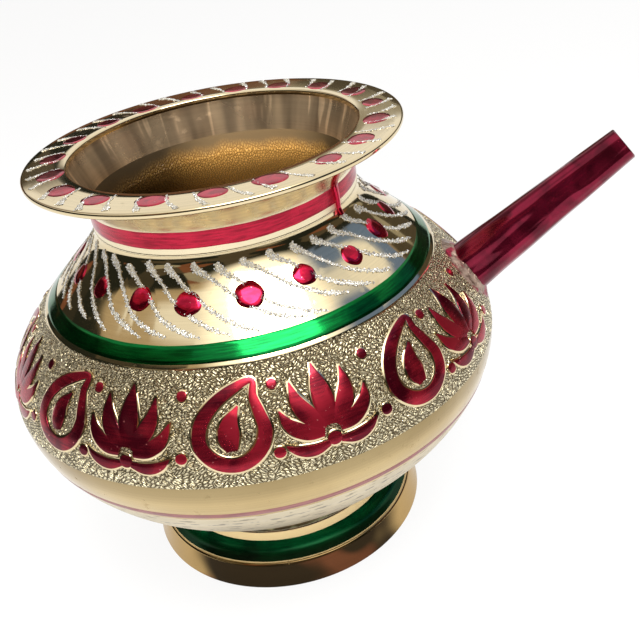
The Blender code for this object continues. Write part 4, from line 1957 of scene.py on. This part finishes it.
@dataclass
class Foot(Assembly):
    """The foot ring with its green cove and the bead at the waist."""

    waist_radius: float = 31.5 * MM
    base_width: float = 3.5 * MM
    cove: float = 6.2 * MM
    cove_drop: float = 0.3 * MM
    edge_round: float = 1.2 * MM
    edge_lean: float = 75.0
    edge_end: float = 17.0
    edge_steps: int = 7
    lip_rows: int = 5
    hollow: float = 4.6 * MM
    plate: float = 4.2 * MM
    bore: float = 25.8 * MM
    green_top: float = 10.5 * MM
    lip: float = 0.12 * MM

    def flare(self) -> list[Point]:
        """Gives the line of the cove.

        Returns:
            Its points, from the waist down to the edge.
        """
        centre = (self.waist_radius + self.cove, self.frame.foot_top - self.cove_drop)
        cove = arc(centre, self.cove, 180.0, 180.0 + self.edge_lean, 22)
        return [(self.waist_radius, self.frame.foot_top)] + cove

    def wall(self, start: Point) -> list[Point]:
        """Gives the line of the rounded edge and the wall, down to the base.

        Args:
            start: End of the cove.

        Returns:
            The line.
        """
        lean = math.radians(self.edge_lean)
        round_r = start[0] - self.edge_round * math.cos(lean)
        round_z = start[1] - self.edge_round * math.sin(lean)
        line = arc((round_r, round_z), self.edge_round, self.edge_lean, self.edge_end, self.edge_steps)
        base = self.frame.foot_radius
        line += [(base - 0.25 * MM, 0.9 * MM), (base - 0.05 * MM, 0.3 * MM), (base - 0.4 * MM, 0.0)]
        return line

    def build(self) -> None:
        """Makes the foot, its green band and its bead."""
        frame = self.frame
        flare = self.flare()
        wall = self.wall(flare[-1])
        section = flare + wall[1:] + [
            (frame.foot_radius - self.base_width, 0.0),
            (wall[self.edge_steps][0] - self.base_width, self.hollow),
            (self.bore, frame.foot_top - self.plate),
            (self.bore, frame.foot_top),
        ]
        ring = self.turn("foot", section)
        zones = [0] * len(flare) + [2] * self.lip_rows
        set_zones(ring, zones + [1] * (len(section) - len(zones)))
        self.dress(ring, Slot.BRASS, ["cove_brass", "foot_brass", "lip_brass"], ["foot_ring"])
        profile = Profile(flare)
        start = profile.length_at_height(self.green_top)
        band = PaintedBand("foot_green_band", start, profile.length - self.lip, waver=0.1 * MM, seed=61)
        self.dress(band.build(profile, frame.axis_x), Slot.GREEN, ["foot_green"])
        centre = (self.waist_radius - 0.3 * MM, frame.foot_top)
        self.bead("foot_braze", "foot_braze_bead", "waist_seam", centre, 0.42 * MM, 110.0)


@dataclass
class Spout(Assembly):
    """The straight tapering spout and the bead of solder round its root."""

    slope: float = math.radians(36.6)
    length: float = 46.4 * MM
    root_above_seam: float = 11.7 * MM
    root_out: float = 57.77 * MM
    root_radius: float = 6.7 * MM
    tip_radius: float = 4.1 * MM
    tip_edge: float = 0.25 * MM
    wall: float = 0.9 * MM
    rows: int = 49
    columns: int = 96
    dent_depth: float = 0.34 * MM
    flat_middle: float = math.radians(163.0)
    flat_half: float = math.radians(26.0)
    bead_leg: float = 3.3 * MM
    bead_height: float = 1.3 * MM

    def frame_vectors(self) -> tuple[Vector, Vector, Vector, Vector]:
        """Gives the root and the spout's own directions.

        Returns:
            Root centre, direction of the spout, its upward side and its left side.
        """
        root = Vector((self.frame.axis_x + self.root_out, 0.0, self.frame.seam + self.root_above_seam))
        ahead = Vector((math.cos(self.slope), 0.0, math.sin(self.slope)))
        above = Vector((-math.sin(self.slope), 0.0, math.cos(self.slope)))
        return root, ahead, above, Vector((0.0, 1.0, 0.0))

    def ring(self, along: float, radius: float) -> np.ndarray:
        """Gives one ring of points round the spout.

        Args:
            along: Distance from the root.
            radius: Radius of the ring.

        Returns:
            Places of its points.
        """
        root, ahead, above, left = self.frame_vectors()
        turns = np.arange(self.columns) * FULL_TURN / self.columns
        centre = np.array(root + ahead * along)
        dents = np.array([self.dent(along, turn_angle) for turn_angle in turns])
        middle = self.flat_middle + 0.07 * math.sin(along / (6.0 * MM)) + 0.04 * math.sin(along / (2.6 * MM))
        off = np.minimum(np.abs(turns - middle), self.flat_half)
        dents = np.maximum(dents, radius * (1.0 - math.cos(self.flat_half) / np.cos(off)) + 0.6 * dents)
        spokes = np.outer(np.cos(turns), left) + np.outer(np.sin(turns), above)
        return centre + (radius - dents)[:, None] * spokes

    def dent(self, along: float, turn_angle: float) -> float:
        """Gives the depth of the hand-rolled dents in the sheet.

        Args:
            along: Distance from the root.
            turn_angle: Angle round the spout.

        Returns:
            Depth, never above the true cone.
        """
        place = Vector((2.0 * math.cos(turn_angle), 2.0 * math.sin(turn_angle), along / (11.0 * MM)))
        creased = Vector((3.4 * math.cos(turn_angle), 3.4 * math.sin(turn_angle), along / (24.0 * MM) + 7.0))
        wave = 0.12 + 0.5 * noise.noise(place) + 0.75 * noise.noise(creased)
        return self.dent_depth * min(1.0, max(0.0, wave))

    def outer_radius(self, along: float) -> float:
        """Gives the outer radius at a distance from the root."""
        return self.root_radius + (self.tip_radius - self.root_radius) * along / self.length

    def tube(self, name: str, rows: Sequence[Point]) -> Object:
        """Makes a closed tube from the distance and radius of each ring, once round the wall."""
        rings = [self.ring(along, radius) for along, radius in rows]
        return mesh_object(name, np.concatenate(rings), grid_faces(len(rows), self.columns))

    def cutter(self) -> Object:
        """Makes the solid that cuts the pouring hole in the shoulder.

        Returns:
            The cutter, which the caller removes.
        """
        radius = self.root_radius - self.wall
        rings = [self.ring(-9.0 * MM, radius), self.ring(6.0 * MM, radius)]
        faces = grid_faces(2, self.columns, rows_closed=False).tolist()
        faces.append(list(range(self.columns)))
        faces.append(list(range(self.columns, 2 * self.columns)))
        return mesh_object("spout_cutter", np.concatenate(rings), faces)

    def build(self, shoulder: Profile) -> None:
        """Makes the spout and its solder.

        Args:
            shoulder: Outer line of the shoulder.
        """
        tip = self.outer_radius(self.length)
        outside = [share * (self.length - self.tip_edge) for share in np.linspace(0.0, 1.0, self.rows)]
        rows = [(along, self.outer_radius(along)) for along in outside]
        rows += [(self.length, tip - self.tip_edge), (self.length, tip - self.wall + self.tip_edge)]
        rows += [(along, self.outer_radius(along) - self.wall) for along in outside[::-1]]
        spout = self.tube("spout", rows)
        set_zones(spout, [0] * self.rows + [1, 1] + [0] * self.rows)
        self.dress(spout, Slot.MAROON, ["spout_lacquer", "lip_brass"], ["spout_tube"])
        self.solder(shoulder)

    def solder(self, shoulder: Profile) -> None:
        """Makes the uneven bead round the root.

        Args:
            shoulder: Outer line of the shoulder.
        """
        root, ahead, above, left = self.frame_vectors()
        skin = [(share, 1.0) for share in np.linspace(0.0, 1.0, 9)]
        rows = skin + [(1.0, -0.3), (0.5, -0.3), (0.0, -0.3)]
        vertices = []
        for share, level in rows:
            for column in range(self.columns):
                turn_angle = FULL_TURN * column / self.columns
                side = left * math.cos(turn_angle) + above * math.sin(turn_angle)
                uneven = 1.0 + 0.35 * noise.noise(side * 2.1 + Vector((3.0, 1.0, 2.0)))
                place = root + side * (self.root_radius - 0.5 * MM + share * self.bead_leg * uneven)
                rise = self.bead_height * uneven * (1.0 - share) ** 1.7
                lumps = 0.15 * MM * noise.noise(place / (1.5 * MM)) * math.sin(math.pi * share)
                height = rise + lumps if level > 0.0 else level * MM
                vertices.append(place + ahead * (self.meet(shoulder, place, ahead) + height))
        bead = mesh_object("spout_solder", np.array(vertices), grid_faces(len(rows), self.columns))
        self.dress(bead, Slot.FILLER, ["spout_solder"], ["spout_solder_bead"])

    def meet(self, shoulder: Profile, start: Vector, ahead: Vector) -> float:
        """Finds how far along the spout a line leaves the shoulder.

        Args:
            shoulder: Outer line of the shoulder.
            start: Point of the line at the root.
            ahead: Direction of the line.

        Returns:
            Distance from the start to the surface.
        """
        low = -12.0 * MM
        high = 12.0 * MM
        for _ in range(30):
            middle = 0.5 * (low + high)
            point = start + ahead * middle
            radius = math.hypot(point.x - self.frame.axis_x, point.y)
            surface = np.interp(-point.z, -shoulder.points[:, 1], shoulder.points[:, 0])
            if radius < surface:
                low = middle
            else:
                high = middle
        return middle


# Studio


@dataclass
class Studio:
    """Camera, floor, lamps and world."""

    axis_x: float
    azimuth: float = math.radians(7.186)
    elevation: float = math.radians(30.234)
    roll: float = math.radians(-9.614)
    target: Place = (17.575 * MM, 2.216 * MM, 55.80 * MM)
    distance: float = 224.43 * MM
    lens: float = 46.98
    floor_size: float = 6.0
    floor_colour: Colour = (0.90, 0.90, 0.895)
    white_share: float = 0.82
    wall_top: float = 0.70
    wall_fall: float = 0.50
    wall_top_back: float = 0.304
    beam: Place = (-0.58, 0.56, 0.59)
    key_place: Place = (0.16, -0.24, 0.75)
    key_aim: float = 0.07
    key_size: Point = (0.46, 0.34)
    key_power: float = 4.2
    mouth_place: Place = (-0.06, -0.53, 0.20)
    mouth_aim: float = 0.105
    mouth_size: Point = (0.13, 0.13)
    mouth_power: float = 3.6

    def build(self) -> None:
        """Sets up the view, the floor and the light."""
        bpy.context.scene.view_settings.view_transform = "Standard"
        self.camera()
        self.floor()
        self.lamps()
        self.world()

    def camera(self) -> None:
        """Puts the camera at the picture's view, with the pot leaning a little."""
        data = bpy.data.cameras.new("camera")
        data.lens = self.lens
        data.sensor_width = 36.0
        data.clip_start = 0.01
        camera = link(bpy.data.objects.new("camera", data))
        flat = math.cos(self.elevation)
        away = Vector(
            (flat * math.sin(self.azimuth), -flat * math.cos(self.azimuth), math.sin(self.elevation))
        )
        target = Vector(self.target) + Vector((self.axis_x, 0.0, 0.0))
        level = away.to_track_quat("Z", "Y").to_matrix()
        turned = level @ Matrix.Rotation(self.roll, 3, "Z")
        camera.matrix_world = Matrix.Translation(target + away * self.distance) @ turned.to_4x4()
        bpy.context.scene.camera = camera

    def floor(self) -> None:
        """Lays the plain pale floor."""
        mesh = bpy.data.meshes.new("floor")
        bm = bmesh.new()
        bmesh.ops.create_grid(bm, x_segments=1, y_segments=1, size=0.5 * self.floor_size)
        bm.to_mesh(mesh)
        bm.free()
        floor = link(bpy.data.objects.new("floor", mesh))
        material = bpy.data.materials.new("floor_paper")
        material.use_nodes = True
        shader = material.node_tree.nodes["Principled BSDF"]
        sheet = NodeSheet(material.node_tree)
        sheet.fill(shader, {"Base Color": self.floor_colour, "Roughness": 0.9, "Specular IOR Level": 0.1})
        self.lift_white(sheet, shader)
        mesh.materials.append(material)

    def lift_white(self, sheet: NodeSheet, shader: Node) -> None:
        """Lifts the floor towards white where it is seen, straight or in the metal.

        Args:
            sheet: The floor material's nodes.
            shader: The floor's own shader.
        """
        path = sheet.add("ShaderNodeLightPath")
        seen = sheet.math("MAXIMUM", path.outputs["Is Camera Ray"], path.outputs["Is Glossy Ray"])
        seen = sheet.math("MAXIMUM", seen, path.outputs["Is Transmission Ray"])
        glow = sheet.add("ShaderNodeEmission")
        glow.inputs["Strength"].default_value = 1.0
        mixed = sheet.add("ShaderNodeMixShader")
        sheet.feed(mixed.inputs[0], sheet.times(seen, self.white_share))
        sheet.feed(mixed.inputs[1], shader.outputs["BSDF"])
        sheet.feed(mixed.inputs[2], glow.outputs["Emission"])
        sheet.feed(sheet.tree.nodes["Material Output"].inputs["Surface"], mixed.outputs[0])

    def lamps(self) -> None:
        """Hangs the soft lamps."""
        self.lamp("key_panel", self.key_place, self.key_aim, self.key_size, self.key_power)
        panel = self.lamp("mouth_panel", self.mouth_place, self.mouth_aim, self.mouth_size, self.mouth_power)
        panel.visible_glossy = False

    def lamp(self, name: str, away: Sequence[float], level: float, size: Point, power: float) -> Object:
        """Hangs one area lamp that points at the pot's axis.

        Args:
            name: Name of the lamp.
            away: Where it hangs, from what it points at.
            level: Height of what it points at.
            size: Its two sides.
            power: Its power, in watts.

        Returns:
            The lamp.
        """
        data = bpy.data.lights.new(name, "AREA")
        data.shape = "RECTANGLE"
        data.size, data.size_y = size
        data.energy = power
        lamp = link(bpy.data.objects.new(name, data))
        aim = Vector((self.axis_x, 0.0, level))
        place = aim + Vector(away)
        turned = (place - aim).to_track_quat("Z", "Y").to_matrix().to_4x4()
        lamp.matrix_world = Matrix.Translation(place) @ turned
        return lamp

    def world(self) -> None:
        """Makes the room: dark low walls with pale patches under a bright ceiling."""
        world = bpy.data.worlds.new("room")
        bpy.context.scene.world = world
        world.use_nodes = True
        sheet = NodeSheet(world.node_tree)
        direction = sheet.add("ShaderNodeTexCoord").outputs["Generated"]
        x, y, height = sheet.split(direction)
        around = sheet.math("ARCTAN2", y, x)
        chart = sheet.join(sheet.times(around, 1.1), sheet.times(height, 3.2), 0.0)
        cells = sheet.cells(chart, 2.3, "Color", distance="CHEBYCHEV", voronoi_dimensions="2D")
        tone, hue, _ = sheet.split(cells)
        wall = self.patches(sheet, tone, WALL_TONES)
        cool = self.patches(sheet, hue, TRIM_TONES)
        fall = sheet.times_plus(x, 0.08, sheet.times_plus(y, -self.wall_fall, self.wall_top))
        over = sheet.minus(height, sheet.math("MAXIMUM", fall, self.wall_top_back))
        over = sheet.times_plus(sheet.minus(tone, 0.5), sheet.remap(y, -0.1, 0.7, 0.10, 0.0), over)
        trim = sheet.mix(sheet.remap(x, -0.35, 0.25), WARM_TRIM, cool)
        depth = sheet.remap(x, -0.2, 0.35, 0.055, 0.13)
        depth = sheet.times(depth, sheet.remap(y, 0.45, 0.75, 1.0, 0.0))
        below = sheet.math("ADD", over, depth)
        colour = sheet.mix(sheet.remap(below, -0.012, 0.012), wall, trim)
        colour = sheet.mix(sheet.remap(over, -0.015, 0.015), colour, CEILING)
        beam = self.toward(sheet, direction, self.beam)
        colour = sheet.mix(sheet.remap(beam, 0.925, 0.975), colour, BEAM_COLOUR)
        key = self.toward(sheet, direction, self.key_place)
        colour = sheet.mix(sheet.remap(key, 0.84, 0.97), colour, KEY_COLOUR)
        path = sheet.add("ShaderNodeLightPath")
        colour = sheet.mix(path.outputs["Is Camera Ray"], colour, (1.0, 1.0, 1.0))
        sheet.fill(world.node_tree.nodes["Background"], {"Color": colour, "Strength": 1.0})

    def patches(self, sheet: NodeSheet, tone: Socket, tones: Sequence[tuple[float, Colour]]) -> Value:
        """Gives flat patches of colour.

        Args:
            sheet: The world's nodes.
            tone: Number that picks the colour of each patch.
            tones: Least number and colour of each kind of patch, in rising order.

        Returns:
            Socket of the colour.
        """
        colour = tones[0][1]
        for least, next_colour in tones[1:]:
            colour = sheet.mix(sheet.remap(tone, least, least + PATCH_BLEND), colour, next_colour)
        return colour

    def toward(self, sheet: NodeSheet, direction: Value, place: Sequence[float]) -> Socket:
        """Gives how nearly the room's direction points at one place.

        Args:
            sheet: The world's nodes.
            direction: Direction out into the room.
            place: The place, seen from the pot.

        Returns:
            Socket of the cosine between them.
        """
        node = sheet.add("ShaderNodeVectorMath", operation="DOT_PRODUCT")
        sheet.feed(node.inputs[0], direction)
        node.inputs[1].default_value = Vector(place).normalized()
        return node.outputs["Value"]


def main() -> None:
    """Builds the pot piece by piece and sets up its studio."""
    logging.basicConfig(level=logging.INFO, format="%(name)s %(message)s")
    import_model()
    frame = PotFrame.read()
    palette = {finish.name: finish.material(frame.axis_x) for finish in FINISHES}
    spout = Spout(frame, palette)
    shoulder = Shoulder(frame, palette)
    MouthFlange(frame, palette).build()
    Neck(frame, palette).build()
    cutter = spout.cutter()
    shoulder.build(cutter)
    bpy.data.objects.remove(cutter)
    spout.build(Profile(shoulder.line()))
    Bowl(frame, palette).build()
    Foot(frame, palette).build()
    Studio(frame.axis_x).build()


if __name__ == "__main__":
    main()
